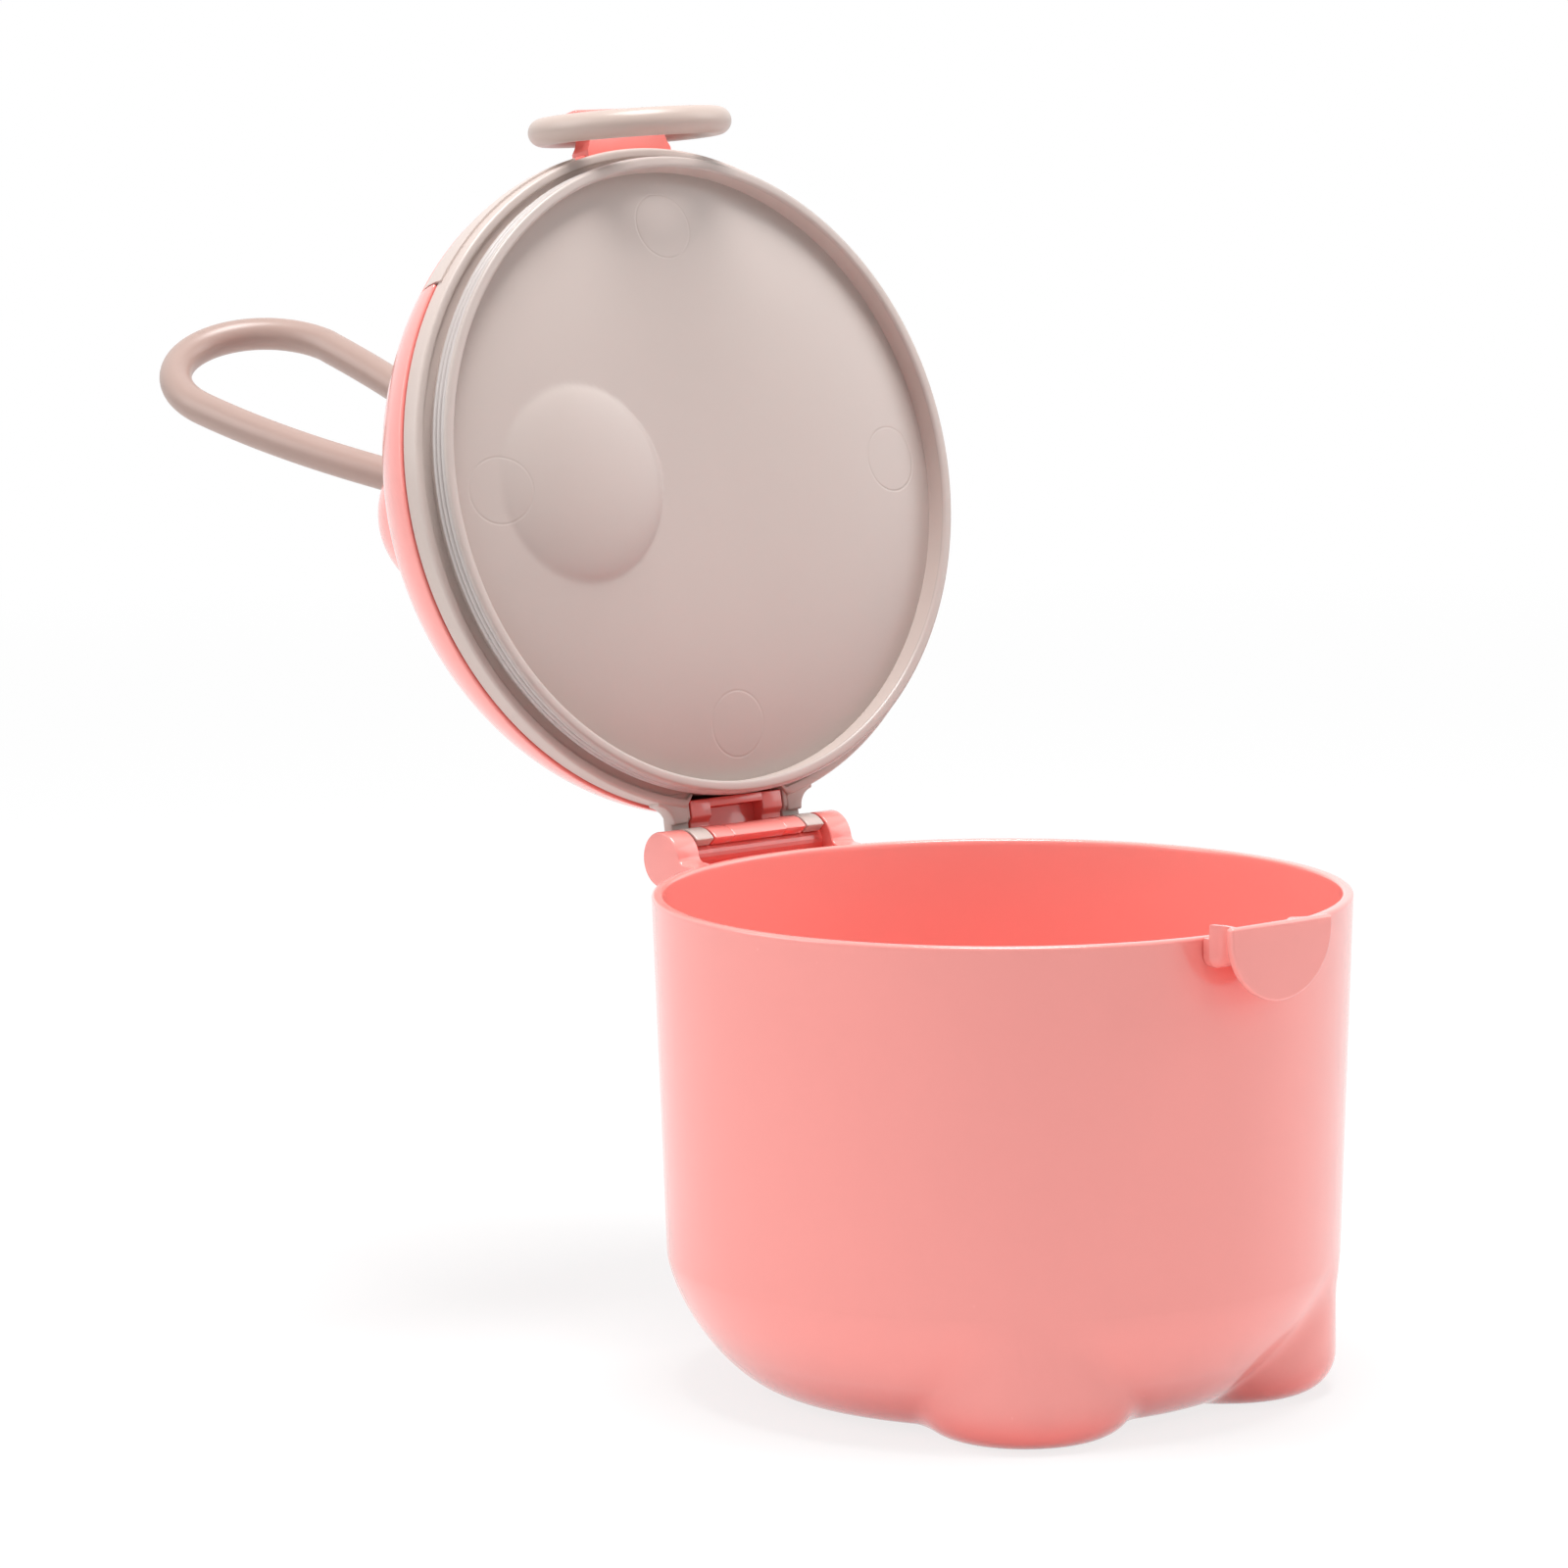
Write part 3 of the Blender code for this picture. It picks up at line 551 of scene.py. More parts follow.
def knuckleParts():
    # knuckles on webs with a shelf between them, in (y, z) from the pin
    h = hingeSizes
    centreZ = -0.0001 + h["fillet"]
    centreY = -math.sqrt((h["knuckle"] + h["fillet"]) ** 2 - centreZ ** 2)
    meet = math.degrees(math.atan2(-centreZ, -centreY))
    outline = [(-0.00975, -0.0004), (-0.0066, -0.0002)]
    outline += arcPoints((centreY, centreZ), h["fillet"], -90, meet, 10)
    outline += arcPoints((0, 0), h["knuckle"], 180 + meet, -98, 72)[1:]
    outline += [(-0.0034, -0.0060), (-0.0062, -0.0090), (-0.00975, -0.0112)]
    shelf = [(-0.0098, -0.0104), (-0.0062, -0.0098), (-0.0051, -0.0060)]
    shelf += arcPoints((-0.0065, -0.0022), 0.0017, 0, 90, 10) + [(-0.0098, -0.0005)]
    rows = []
    for x in np.linspace(-h["outer"] + h["shelfInset"], h["outer"] - h["shelfInset"], 41):
        wall = math.sqrt(h["wallInside"] ** 2 - x * x) - hinge["y"]      # its root follows the wall
        rows.append([(x, max(y, wall + h["wallDraft"] * min(z, 0)), z) for y, z in shelf])
    parts = [(capEnds(gridPart(np.array(rows)), rows), hingePlace)]
    for side in (-1, 1):
        ends = sorted((side * h["inner"], side * h["outer"]))
        parts.append((prismPart(outline, "X", *ends, rim=0.00045, segments=4), hingePlace))
    return parts


def hookOutline(root, top, window=None):
    # an arm or the tab hooked over the rod, lid shut; a window leaves a pocket in its underside
    h = hingeSizes
    outline = [(root, top), (root, 0.0011)]
    first = 152
    if window:
        outline += [(-0.0070, 0.0011), (-0.0070, window), (-0.0031, window), (-0.0031, -0.0004)]
        first = 193.3
    else:
        outline += [(-0.0057, 0.0012), (-0.0050, 0.0019)]
    outline += arcPoints((0, 0), h["hook"], first, h["tip"], 18)
    outline += arcPoints((0, 0), h["bore"], h["tip"], h["heel"], 36)
    return outline + arcPoints((0, 0), h["hook"], h["heel"], 100, 28)


catchSizes = {"face": 0.0568, "plate": 0.0014, "radius": 0.0095, "stretch": 0.0011,
              "rise": 0.0019, "lidDrop": 0.0037, "split": 0.0004, "gap": 0.0003,
              "neckGap": 0.0003, "bandReach": 0.05065, "lidReach": 0.0492, "lowCheek": 0.0008,
              "cheekFrom": 0.0545, "cheekLength": 0.0050, "cheekDepth": -0.0010,
              "necks": ((0.0495, 1.05), (0.0506, 1.05), (0.0507, 1.05), (0.0515, 0.99),
                        (0.0524, 0.95), (0.0537, 0.95), (0.0549, 1.02), (0.0559, 1.14))}


def neckPart(side):
    # a cut-cornered block that narrows behind the button, in (x, z) from the button's middle
    c = catchSizes
    edge = c["split"] + side * (c["gap"] / 2 + c["neckGap"])
    scoop = [(0.0040, edge - 0.0011), (0.0058, edge - 0.0006), (0.0068, edge)]
    half = (scoop if side < 0 else []) + [
        (0.0076, edge), (0.0076, edge + (side * 0.0044 - edge) * 0.5), (0.0076, side * 0.0044),
        (0.0074, side * 0.0049), (0.0069, side * 0.0055), (0.0063, side * 0.0058),
        (0.0030, side * 0.0059)]
    section = np.array(half + [(-x, z) for x, z in half[::-1]])
    rows = []
    for reach, scale in c["necks"]:
        if side > 0 and reach < 0.0500:
            reach = c["lidReach"]
        # the far cheek behind the pot's button starts low and rises towards the button
        drop = 0
        if side < 0:
            drop = c["lowCheek"] * max(0, c["cheekFrom"] - reach) / c["cheekLength"]
        row = [(x * scale, -reach,
                edge + (z - edge) * scale - (drop if x > 0 and z > c["cheekDepth"] else 0))
               for x, z in section]
        if side < 0 and reach < c["bandReach"]:      # under the liner's band it stays below the rim
            row = [(x, y, min(z, -c["rise"] - 0.0001)) for x, y, z in row]
        rows.append(row)
    return capEnds(gridPart(np.array(rows)), rows)


def buttonPart(side):
    c = catchSizes
    edge = c["split"] + side * c["gap"] / 2
    bend = arcPoints((0, side * c["stretch"]), c["radius"], 0, side * 180, 56)
    outline = [(c["radius"], edge)] + bend + [(-c["radius"], edge)]
    return prismPart(outline, "Y", -c["face"], -c["face"] + c["plate"], rim=0.0004, segments=4)


def potCatchParts():
    place = Matrix.Translation((0, 0, potSizes["height"] + catchSizes["rise"]))
    return [(buttonPart(-1), place), (neckPart(-1), place)]


pot = makePiece("potWall", [potWall()] + knuckleParts() + potCatchParts(), pink)
pot.data.materials.append(litInsideFinish)
insideReach, feetTop = 0.0489, 0.0040
for face in pot.data.polygons:      # the inside of the wall and the floor's top take the lighter pink, painted light inside the pot
    spot = face.center
    far = math.hypot(spot.x, spot.y)
    facingOut = (face.normal.x * spot.x + face.normal.y * spot.y) / max(far, 1e-6)
    if far < insideReach and spot.z > feetTop and face.normal.z - facingOut > 0:
        face.material_index = 1
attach(pot, "base")
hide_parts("pot")
print("pot made", len(pot.data.polygons))


# Lid shell: a superellipse dome with two side swells, grown by nodes

domeSizes = {"Radius": 0.0507, "Height": 0.0329, "Power": 1.73, "Bump Offset": 0.0240,
             "Bump Radius": 0.0144, "Bump Height": 0.0166, "Bump Rise": 0.0187, "Blend": 0.0022,
             "Window Height": 0.0042, "Window From": 39.0, "Window To": 78.0}
domeWall = {"thickness": 0.0016, "edge": 0.00035, "around": 361, "up": 73}


def domeTree():
    inputs = [(label, "Float", value) for label, value in domeSizes.items()]
    tree, given, out = newTree("domeRule", inputs + [("Finish", "Material", None)])

    def m(operation, *values):
        return mathNode(tree, operation, *values)

    grid = tree.nodes.new("GeometryNodeMeshGrid")
    grid.inputs["Size X"].default_value = 1
    grid.inputs["Size Y"].default_value = 1
    grid.inputs["Vertices X"].default_value = domeWall["around"]
    grid.inputs["Vertices Y"].default_value = domeWall["up"]
    where = tree.nodes.new("ShaderNodeSeparateXYZ")
    tree.links.new(tree.nodes.new("GeometryNodeInputPosition").outputs[0], where.inputs[0])
    turn = m("MULTIPLY", m("ADD", where.outputs[0], 0.5), 2 * math.pi)
    share = m("ADD", where.outputs[1], 0.5)
    ratio = m("POWER", m("DIVIDE", given["Window Height"], given["Height"]), given["Power"])
    reach = m("MULTIPLY", given["Radius"],
              m("POWER", m("SUBTRACT", 1.0, ratio), m("DIVIDE", 1.0, given["Power"])))
    stepUp = m("ARCTAN2", given["Window Height"], reach)   # a row lies along the window's top
    split = 1 / 6      # share of the rows that lies below the window's top
    lower = m("MULTIPLY", m("DIVIDE", m("MINIMUM", share, split), split), stepUp)
    rest = m("DIVIDE", m("MAXIMUM", m("SUBTRACT", share, split), 0.0), 1 - split)
    upper = m("MULTIPLY", rest, m("SUBTRACT", math.pi / 2, stepUp))
    lift = m("ADD", lower, upper)
    flat, up = m("MAXIMUM", m("COSINE", lift), 0.0), m("MAXIMUM", m("SINE", lift), 0.0)
    inverse = m("ADD", m("POWER", m("DIVIDE", flat, given["Radius"]), given["Power"]),
                m("POWER", m("DIVIDE", up, given["Height"]), given["Power"]))
    size = m("POWER", inverse, m("DIVIDE", -1.0, given["Power"]))
    dirX, dirY = m("MULTIPLY", flat, m("COSINE", turn)), m("MULTIPLY", flat, m("SINE", turn))
    ax = m("DIVIDE", dirX, given["Bump Radius"])
    ay = m("DIVIDE", dirY, given["Bump Radius"])
    az = m("DIVIDE", up, given["Bump Rise"])
    square = m("ADD", m("ADD", m("MULTIPLY", ax, ax), m("MULTIPLY", ay, ay)), m("MULTIPLY", az, az))
    cx = m("DIVIDE", given["Bump Offset"], given["Bump Radius"])
    cz = m("DIVIDE", given["Bump Height"], given["Bump Rise"])
    far = m("SUBTRACT", m("ADD", m("MULTIPLY", cx, cx), m("MULTIPLY", cz, cz)), 1.0)
    for side in (-1, 1):
        along = m("ADD", m("MULTIPLY", m("MULTIPLY", ax, cx), float(side)), m("MULTIPLY", az, cz))
        under = m("SUBTRACT", m("MULTIPLY", along, along), m("MULTIPLY", square, far))
        hit = m("DIVIDE", m("ADD", along, m("SQRT", m("MAXIMUM", under, 0.0))), square)
        hit = m("MULTIPLY", hit, m("GREATER_THAN", under, 0.0))
        size = m("SMOOTH_MAX", size, hit, given["Blend"])
    place = tree.nodes.new("ShaderNodeCombineXYZ")
    tree.links.new(m("MULTIPLY", dirX, size), place.inputs[0])
    tree.links.new(m("MULTIPLY", dirY, size), place.inputs[1])
    tree.links.new(m("MULTIPLY", up, size), place.inputs[2])

    # faces of the two side windows go, before the grid is bent
    degrees = m("MULTIPLY", turn, 180 / math.pi)
    left = m("MULTIPLY", m("GREATER_THAN", degrees, m("ADD", given["Window From"], 180.0)),
             m("LESS_THAN", degrees, m("ADD", given["Window To"], 180.0)))
    right = m("MULTIPLY", m("GREATER_THAN", degrees, m("SUBTRACT", 360.0, given["Window To"])),
              m("LESS_THAN", degrees, m("SUBTRACT", 360.0, given["Window From"])))
    gone = m("MULTIPLY", m("MAXIMUM", left, right), m("LESS_THAN", share, split))
    drop = tree.nodes.new("GeometryNodeDeleteGeometry")
    drop.domain = "FACE"
    tree.links.new(grid.outputs["Mesh"], drop.inputs["Geometry"])
    tree.links.new(m("GREATER_THAN", gone, 0.5), drop.inputs["Selection"])
    bend = tree.nodes.new("GeometryNodeSetPosition")
    tree.links.new(drop.outputs[0], bend.inputs["Geometry"])
    tree.links.new(place.outputs[0], bend.inputs["Position"])
    weld = tree.nodes.new("GeometryNodeMergeByDistance")
    weld.inputs["Distance"].default_value = 1e-6
    tree.links.new(bend.outputs[0], weld.inputs["Geometry"])
    return endTree(tree, weld.outputs[0], given, out)


def blankObject(name, data=None):
    source = bpy.data.objects.new(name, data or bpy.data.meshes.new(name))
    bpy.context.scene.collection.objects.link(source)
    return source


def bake(piece):
    # live modifiers become mesh
    shown = piece.evaluated_get(bpy.context.evaluated_depsgraph_get())
    mesh = bpy.data.meshes.new_from_object(shown)
    piece.modifiers.clear()
    old = piece.data
    piece.data = mesh
    bpy.data.meshes.remove(old)
    return piece


def makeDome():
    values = dict(domeSizes, Finish=pink)
    dome = runTree(domeTree(), blankObject("domeSeed"), "domeSkin", values)
    bm = bmesh.new()
    bm.from_mesh(dome.data)
    finishPart(bm)
    top = max(bm.faces, key=lambda f: f.calc_center_median().z)
    if top.normal.z < 0:
        bmesh.ops.reverse_faces(bm, faces=bm.faces)
    bm.to_mesh(dome.data)
    bm.free()
    wall = dome.modifiers.new("wall", "SOLIDIFY")
    wall.thickness = domeWall["thickness"]
    wall.offset = -1
    wall.use_even_offset = True
    edge = dome.modifiers.new("edge", "BEVEL")
    edge.width = domeWall["edge"]
    edge.segments = 3
    edge.angle_limit = math.radians(55)
    bpy.context.view_layer.update()
    return bake(dome)


def tabParts():
    # the shell's tab between the lid arms, with a blind window in its underside
    h = hingeSizes
    root, top = h["tabRoot"], h["tabTop"]
    parts = []
    for sign in (-1, 1):
        ends = sorted((sign * (h["windowHalf"] - 0.0001), sign * h["tabHalf"]))
        parts.append(prismPart(hookOutline(root, top), "X", *ends, rim=0.00025))
    middle = hookOutline(root, top, h["windowTop"])
    parts.append(prismPart(middle, "X", -h["windowHalf"], h["windowHalf"], rim=0.00015))
    return [(part, Matrix.Translation(-lidSeam)) for part in parts]


def lidCatchParts():
    place = Matrix.Translation((0, 0, catchSizes["rise"] - catchSizes["lidDrop"]))
    return [(buttonPart(1), place), (neckPart(1), place)]


shell = makeDome()
addMesh(shell, makePiece("shellExtras", tabParts() + lidCatchParts(), pink))
shell.data.transform(lidFrame)
shell.data.shade_smooth()
shell.data.set_sharp_from_angle(angle=sharpAngle)
shell.name = "lidDome"
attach(shell, "lid")
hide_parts("lid_shell")
print("shell made", len(shell.data.polygons))


# Lid liner: band, lip and soft disc with a round swell

linerSizes = {"band": 0.0503, "bandHeight": 0.0033, "bandWall": 0.0015, "recess": 0.0006,
              "discDepth": 0.0071, "discPower": 4.7, "crease": 0.0044, "lipDepth": 0.0077,
              "lip": 0.0481, "flange": 0.0005, "groove": 0.0472, "plugInner": 0.0462,
              "dimpleOffset": 0.0230, "dimpleRadius": 0.0145, "dimpleHeight": 0.0018,
              "softness": 0.62, "softSide": 0.30, "back": 0.0003, "round": 0.0005,
              "smallRound": 0.0003, "notchHalf": 0.0093, "notchReach": 0.0479, "around": 288}


def linerDisc():
    # the disc's face as a fine grid, from the middle to the crease, with the swell raised on it
    s = linerSizes
    share = np.concatenate([np.linspace(0.01, 0.75, 60), np.linspace(0.75, 1, 28)[1:]])
    angles = np.radians(np.arange(s["around"]) * 360 / s["around"])
    depth = -s["crease"] - (s["discDepth"] - s["crease"]) * (1 - share ** s["discPower"])
    x = s["plugInner"] * share[:, None] * np.cos(angles)
    y = s["plugInner"] * share[:, None] * np.sin(angles)
    z = depth[:, None] * np.ones(len(angles))
    away = np.hypot(x + s["dimpleOffset"], y) / s["dimpleRadius"]
    side = np.clip(-(x + s["dimpleOffset"]) / s["dimpleRadius"], 0, 1)
    soft = s["softness"] + s["softSide"] * side
    z = z - s["dimpleHeight"] * np.maximum(1 - away ** 2, 0) ** soft
    return np.stack([x, y, z], axis=-1)


def linerBody():
    s = linerSizes
    lip, bend, small = s["lip"], s["round"], s["smallRound"]
    bandInner = s["band"] - s["bandWall"]
    outline = [(s["plugInner"], -s["crease"])]
    outline += [(s["plugInner"] + 0.0002, -s["crease"] - 0.0008)]
    outline += arcPoints((s["plugInner"] + 0.0007, -s["lipDepth"] + bend), bend, 180, 270, 4)
    outline += arcPoints((lip - bend, -s["lipDepth"] + bend), bend, 270, 360, 4)
    outline += [(lip, -s["lipDepth"] + s["flange"]), (s["groove"], -s["lipDepth"] + s["flange"]),
                (s["groove"], -s["bandHeight"] + s["recess"]),
                (bandInner, -s["bandHeight"] + s["recess"])]
    outline += arcPoints((bandInner + small, -s["bandHeight"] + small), small, 180, 270, 3)
    outline += arcPoints((s["band"] - bend, -s["bandHeight"] + bend), bend, 270, 360, 4)
    outline += [(s["band"], -s["back"]), (s["plugInner"], -s["back"])]
    angles = np.radians(np.arange(s["around"]) * 360 / s["around"])
    rim = spunRows(np.array(outline), angles)
    notch = (np.abs(rim[..., 0]) < s["notchHalf"]) & (rim[..., 1] > 0)      # room for the tab
    far = np.hypot(rim[..., 0], rim[..., 1])
    pull = np.where(notch & (far > s["notchReach"]), s["notchReach"] / far, 1.0)
    rim[..., 0] *= pull
    rim[..., 1] *= pull
    middle = spunRows(np.array([[0.0004, -s["back"]]]), angles)
    return closePoles(gridPart(np.concatenate([linerDisc(), rim[1:], middle])), s["around"])


def armParts():
    h = hingeSizes
    parts = []
    for side in (-1, 1):
        ends = sorted((side * h["armInner"], side * h["armOuter"]))
        arm = hookOutline(h["armRoot"], h["armTop"])
        parts.append(prismPart(arm, "X", *ends, rim=0.0003))
        inner, flare = h["armInner"] + 0.0006, h["armFlare"]
        bend = arcPoints((h["armOuter"] + flare, -0.0050), flare, 180, 262, 10)
        plan = [(inner, -0.0095), (inner, -0.0050)] + bend + [(0.0150, -0.0095)]
        parts.append(prismPart([(side * x, y) for x, y in plan], "Z", 0.0010, 0.0035, rim=0.0003))
    return [(part, Matrix.Translation(-lidSeam)) for part in parts]


sideWall = {"low": -0.0012, "drop": 0.0002, "skin": 0.00005, "wall": 0.0016, "gap": 0.35}


def sideWallParts():
    # the liner's wall that shows in the shell's side windows
    d, w = domeSizes, sideWall
    outer, inner = [], []
    for z in np.linspace(w["low"], d["Window Height"] - w["drop"], 12):
        for outline, shrink in ((outer, w["skin"]), (inner, w["wall"])):
            radius, height = d["Radius"] - shrink, d["Height"] - shrink
            share = 1 - (max(z, 0) / height) ** d["Power"]
            outline.append((radius * share ** (1 / d["Power"]), z))
    sweep = d["Window To"] - d["Window From"] - 2 * w["gap"]
    return [turnedPart(outer + inner[::-1], 36, first + w["gap"], sweep)
            for first in (180 + d["Window From"], 360 - d["Window To"])]


liner = makePiece("lidLiner", [linerBody()] + armParts() + sideWallParts(), beige, lidFrame)
liner.data.materials.append(shadedDiscFinish)
toLid = lidFrame.inverted()
discTop, lipTop, lipReach = -0.0034, -0.0068, 0.0484
for face in liner.data.polygons:      # the disc's face, with the ejector pads, and the lip's take the darker beige, painted shade
    spot = toLid @ face.center
    far = math.hypot(spot.x, spot.y)
    onDisc = spot.z < discTop and far < linerSizes["plugInner"] - 0.0002
    if onDisc or spot.z < lipTop and far < lipReach:
        face.material_index = 1
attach(liner, "lid")
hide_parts("lid_liner")
print("liner made", len(liner.data.polygons))


# Seal: soft ribs round the plug, repeated by nodes

sealSizes = {"Radius": 0.04775, "Bar": 0.00048, "Low": -0.0068, "High": -0.0048, "Ribs": 3,
             "Around": 14}
sealWall = {"inner": 0.04725, "outer": 0.04790, "low": -0.00715, "high": -0.0042,
            "bevel": (0.04780, -0.0044), "around": 256}


def sealTree():
    tree, given, out = newTree("sealRibs", [
        ("Radius", "Float", 0.048), ("Bar", "Float", 0.0004), ("Low", "Float", -0.006),
        ("High", "Float", -0.003), ("Ribs", "Int", 3), ("Around", "Int", 14),
        ("Finish", "Material", None)])
    line = tree.nodes.new("GeometryNodeMeshLine")
    line.mode = "END_POINTS"
    tree.links.new(given["Ribs"], line.inputs["Count"])
    for label, socket in (("Low", "Start Location"), ("High", "Offset")):
        point = tree.nodes.new("ShaderNodeCombineXYZ")
        tree.links.new(given[label], point.inputs[2])
        tree.links.new(point.outputs[0], line.inputs[socket])
    circle = tree.nodes.new("GeometryNodeCurvePrimitiveCircle")
    circle.inputs["Resolution"].default_value = sealWall["around"]
    tree.links.new(given["Radius"], circle.inputs["Radius"])
    copies = tree.nodes.new("GeometryNodeInstanceOnPoints")
    tree.links.new(line.outputs[0], copies.inputs["Points"])
    tree.links.new(circle.outputs[0], copies.inputs["Instance"])
    loose = tree.nodes.new("GeometryNodeRealizeInstances")
    tree.links.new(copies.outputs[0], loose.inputs[0])
    return endTree(tree, sweepBar(tree, loose.outputs[0], given), given, out)


def makeSeal():
    w = sealWall
    values = dict(sealSizes, Finish=clear)
    ribs = runTree(sealTree(), blankObject("ribSeed"), "sealRibs", values, lidFrame)
    outline = [(w["inner"], w["low"]), (w["outer"], w["low"]), (w["outer"], w["bevel"][1]),
               (w["bevel"][0], w["high"]), (w["inner"], w["high"])]
    band = makePiece("sealBand", [turnedPart(outline, w["around"])], clear, lidFrame)
    addMesh(ribs, band)
    outward(ribs)
    ribs.data.shade_smooth()
    ribs.data.set_sharp_from_angle(angle=math.radians(50))
    ribs.name = "sealRibs"
    return ribs


seal = makeSeal()
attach(seal, "lid")
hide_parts("lid_seal")
print("seal made", len(seal.data.polygons))


# Round bars: the latch ring and the carry loop follow their paths

def barTree():
    tree, given, out = newTree("roundBar", [("Bar", "Float", 0.002), ("Around", "Int", 32),
                                            ("Finish", "Material", None)])
    return endTree(tree, sweepBar(tree, given["Geometry"], given), given, out)


roundBar = barTree()


def pathObject(name, points):
    curve = bpy.data.curves.new(name, "CURVE")
    curve.dimensions = "3D"
    spline = curve.splines.new("POLY")
    spline.points.add(len(points) - 1)
    for point, place in zip(spline.points, points):
        point.co = (*place, 1)
    spline.use_cyclic_u = True
    return blankObject(name, curve)


ringSizes = {"radius": 0.01327, "bar": 0.00212, "pivotRise": 0.0041, "pivotReach": 0.0043,
             "lean": 7.0, "around": 36, "points": 160}
r = ringSizes
pivotHeight = lidSeam[2] + catchSizes["rise"] - catchSizes["lidDrop"] + r["pivotRise"]
pivotY = lidSeam[1] - potSizes["radius"] - r["pivotReach"]
ringFrame = (pinFrame @ Matrix.Translation((0, pivotY, pivotHeight))
             @ Matrix.Rotation(math.radians(r["lean"]), 4, "X")
             @ Matrix.Translation((0, 0, -r["pivotRise"])) @ Matrix.Rotation(math.pi / 2, 4, "X"))
circle = [(r["radius"] * math.cos(a), r["radius"] * math.sin(a), 0)
          for a in [2 * math.pi * i / r["points"] for i in range(r["points"])]]
ring = outward(runTree(roundBar, pathObject("ringPath", circle), "latchRing",
                       {"Bar": r["bar"], "Around": r["around"], "Finish": ringBeige}, ringFrame))
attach(ring, "ring")
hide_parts("latch_ring")

loopSizes = {"bar": 0.0026, "halfWidth": 0.0137, "side": 0.0700, "cap": 0.0152,
             "start": 0.0165, "rootDepth": 0.0069, "rootBack": 0.0023, "lean": 30.6,
             "turn": -19.0, "around": 36, "steps": 60, "slack": 0.24}
collarSizes = {"low": 0.0003, "radius": 0.0065, "top": 0.0039, "round": 0.0008, "around": 72}


def loopPath():
    s = loopSizes

    def width(along, slack=0.0):
        pinch = 1 - slack * max(0, 1 - along / s["side"]) ** 0.8
        return s["halfWidth"] * math.sin(along / s["side"] * math.pi / 2) * pinch

    places = [s["start"] + (s["side"] - s["start"]) * i / s["steps"] for i in range(s["steps"] + 1)]
    slackSide = [(width(along, s["slack"]), along) for along in places]
    side = [(width(along), along) for along in places]
    cap = [(s["halfWidth"] * math.cos(a), s["side"] + s["cap"] * math.sin(a)) for a in
           [math.pi * i / s["steps"] for i in range(1, s["steps"])]]
    bend = arcPoints((0, s["start"]), width(s["start"]), 180, 360, 24)[1:-1]
    flat = slackSide + cap + [(-x, along) for x, along in side[::-1]] + bend
    lean = math.radians(s["lean"])
    return [(x, s["rootBack"] - along * math.sin(lean), along * math.cos(lean) - s["rootDepth"])
            for x, along in flat]


loopFrame = (lidFrame @ Matrix.Translation((0, 0, domeSizes["Height"]))
             @ Matrix.Rotation(math.radians(loopSizes["turn"]), 4, "Z"))
loop = outward(runTree(roundBar, pathObject("loopPath", loopPath()), "carryLoop",
                       {"Bar": loopSizes["bar"], "Around": loopSizes["around"],
                        "Finish": loopBeige}, loopFrame))
c = collarSizes
collarOutline = [(0, c["low"]), (c["radius"], c["low"])]
collarOutline += arcPoints((c["radius"] - c["round"], c["top"] - c["round"]), c["round"], 0, 90, 6)
collarPart = turnedPart(collarOutline + [(0, c["top"])], c["around"])
addMesh(loop, makePiece("loopCollar", [collarPart], loopBeige, loopFrame))
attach(loop, "loop")
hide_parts("carry_loop")
print("ring and loop made")

for node, finish in (("hinge_pin", pink), ("loop_retainer", loopBeige)):
    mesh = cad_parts[node].data
    mesh.materials.clear()
    mesh.materials.append(finish)


# Stage: a pale floor under an even white surround

stageSizes = {"white": 0.85, "half": 3.0, "near": 0.20, "far": 1.10, "nearShare": 0.80}


def stageShader(name, white):
    material = bpy.data.materials.new(name)
    material.use_nodes = True
    tree = material.node_tree
    shader = tree.nodes["Principled BSDF"]
    shader.inputs["Base Color"].default_value = (white, white, white, 1)
    shader.inputs["Roughness"].default_value = 0.9
    shader.inputs["Specular IOR Level"].default_value = 0.1
    glow = tree.nodes.new("ShaderNodeEmission")
    glow.inputs["Color"].default_value = (1, 1, 1, 1)
    away = tree.nodes.new("ShaderNodeVectorMath")
    away.operation = "LENGTH"
    tree.links.new(tree.nodes.new("ShaderNodeTexCoord").outputs["Object"], away.inputs[0])
    fade = tree.nodes.new("ShaderNodeMapRange")     # the floor's own light takes over further out
    fade.inputs["From Min"].default_value = stageSizes["near"]
    fade.inputs["From Max"].default_value = stageSizes["far"]
    fade.inputs["To Min"].default_value = stageSizes["nearShare"]
    tree.links.new(away.outputs["Value"], fade.inputs["Value"])
    share = mathNode(tree, "MULTIPLY", seenDirectly(tree), fade.outputs[0])
    blend = tree.nodes.new("ShaderNodeMixShader")
    tree.links.new(share, blend.inputs[0])
    tree.links.new(shader.outputs[0], blend.inputs[1])
    tree.links.new(glow.outputs[0], blend.inputs[2])
    tree.links.new(blend.outputs[0], tree.nodes["Material Output"].inputs["Surface"])
    return material


floorMesh = bpy.data.meshes.new("floor")
bm = bmesh.new()
bmesh.ops.create_grid(bm, x_segments=2, y_segments=2, size=stageSizes["half"])
bm.to_mesh(floorMesh)
bm.free()
floor = bpy.data.objects.new("floor", floorMesh)
floorMesh.materials.append(stageShader("floorWhite", stageSizes["white"]))
bpy.context.scene.collection.objects.link(floor)

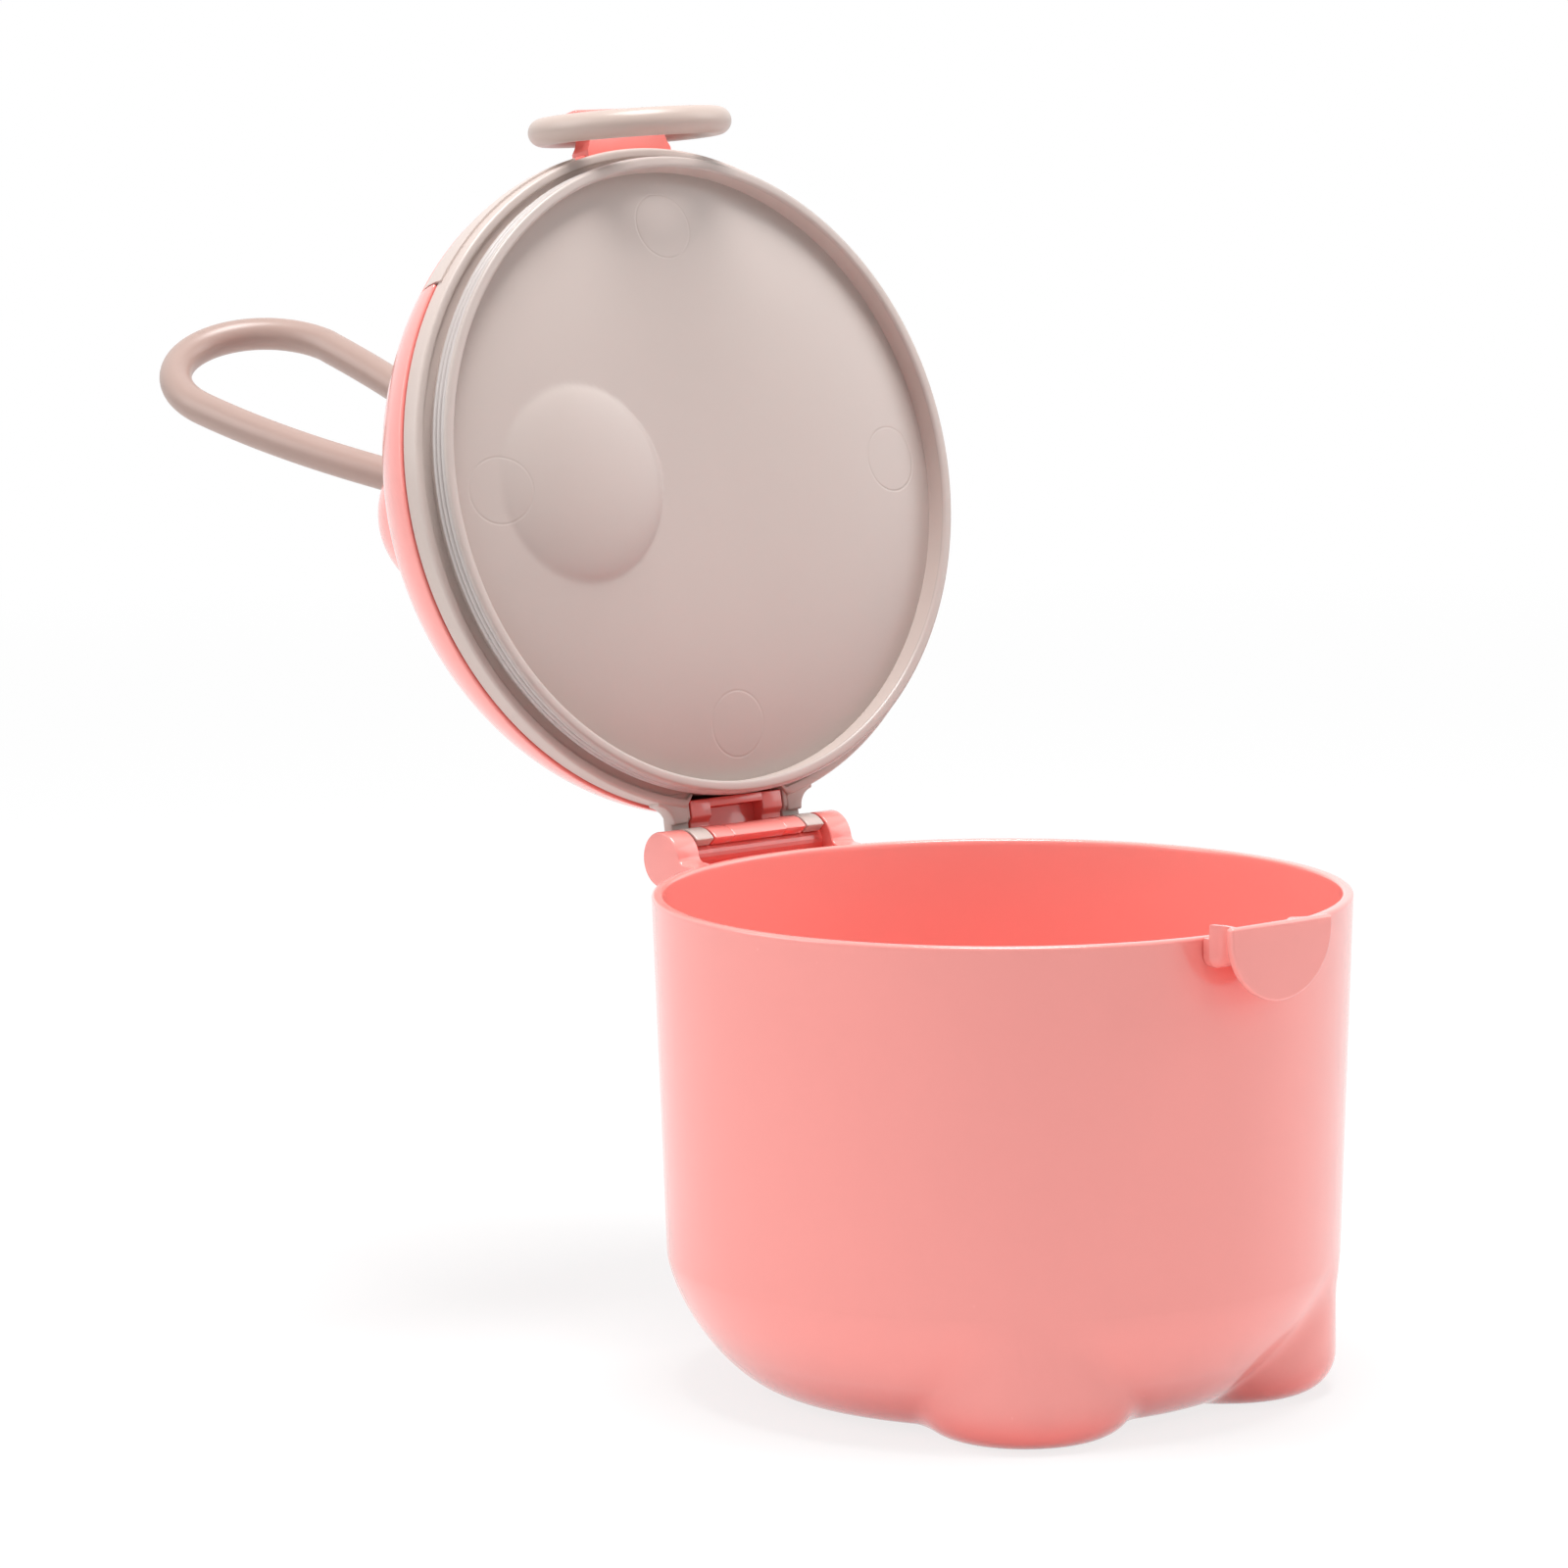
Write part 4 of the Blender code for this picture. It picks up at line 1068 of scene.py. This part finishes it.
world = bpy.data.worlds.new("surround")
bpy.context.scene.world = world
world.use_nodes = True
worldTree = world.node_tree
back = worldTree.nodes["Background"]
back.inputs["Color"].default_value = (1, 1, 1, 1)
ambient = 0.38      # what the surround lights with; seen directly it is 1, white
strength = mathNode(worldTree, "MULTIPLY_ADD", seenDirectly(worldTree), 1 - ambient, ambient)
worldTree.links.new(strength, back.inputs["Strength"])

lamps = [
    {"name": "leftPanel", "place": (-1.1, 0.65, 0.65), "aim": (0, 0, 0.07),
     "size": 0.9, "power": 6.3},
    {"name": "rightPanel", "place": (1.0, -0.55, 0.60), "aim": (0, 0, 0.07),
     "size": 0.8, "power": 3.6},
    {"name": "topPanel", "place": (0.0, -0.05, 1.15), "aim": (0, 0, 0.03),
     "size": 0.5, "power": 14.6}]
for lamp in lamps:
    light = bpy.data.lights.new(lamp["name"], "AREA")
    light.energy = lamp["power"]
    light.size = lamp["size"]
    holder = bpy.data.objects.new(lamp["name"], light)
    holder.location = lamp["place"]
    gaze = Vector(lamp["aim"]) - Vector(lamp["place"])
    holder.rotation_euler = gaze.to_track_quat("-Z", "Y").to_euler()
    bpy.context.scene.collection.objects.link(holder)

view = {"place": (-0.567735, -0.627994, 0.204950), "yaw": 0.698488228, "pitch": 0.139120279,
        "roll": -0.00860327605, "lens": 137.80}
ahead = Vector((math.sin(view["yaw"]) * math.cos(view["pitch"]),
                math.cos(view["yaw"]) * math.cos(view["pitch"]), -math.sin(view["pitch"])))
level = ahead.cross(Vector((0, 0, 1))).normalized()
upward = level.cross(ahead)
right = math.cos(view["roll"]) * level + math.sin(view["roll"]) * upward
upward = -math.sin(view["roll"]) * level + math.cos(view["roll"]) * upward
cameraData = bpy.data.cameras.new("photoView")
cameraData.lens = view["lens"]
cameraData.sensor_width = 36
cameraData.clip_start = 0.01
camera = bpy.data.objects.new("photoView", cameraData)
turnMatrix = Matrix((right, upward, -ahead)).transposed().to_4x4()
camera.matrix_world = Matrix.Translation(view["place"]) @ turnMatrix
bpy.context.scene.collection.objects.link(camera)
bpy.context.scene.camera = camera
bpy.context.scene.view_settings.view_transform = "Standard"
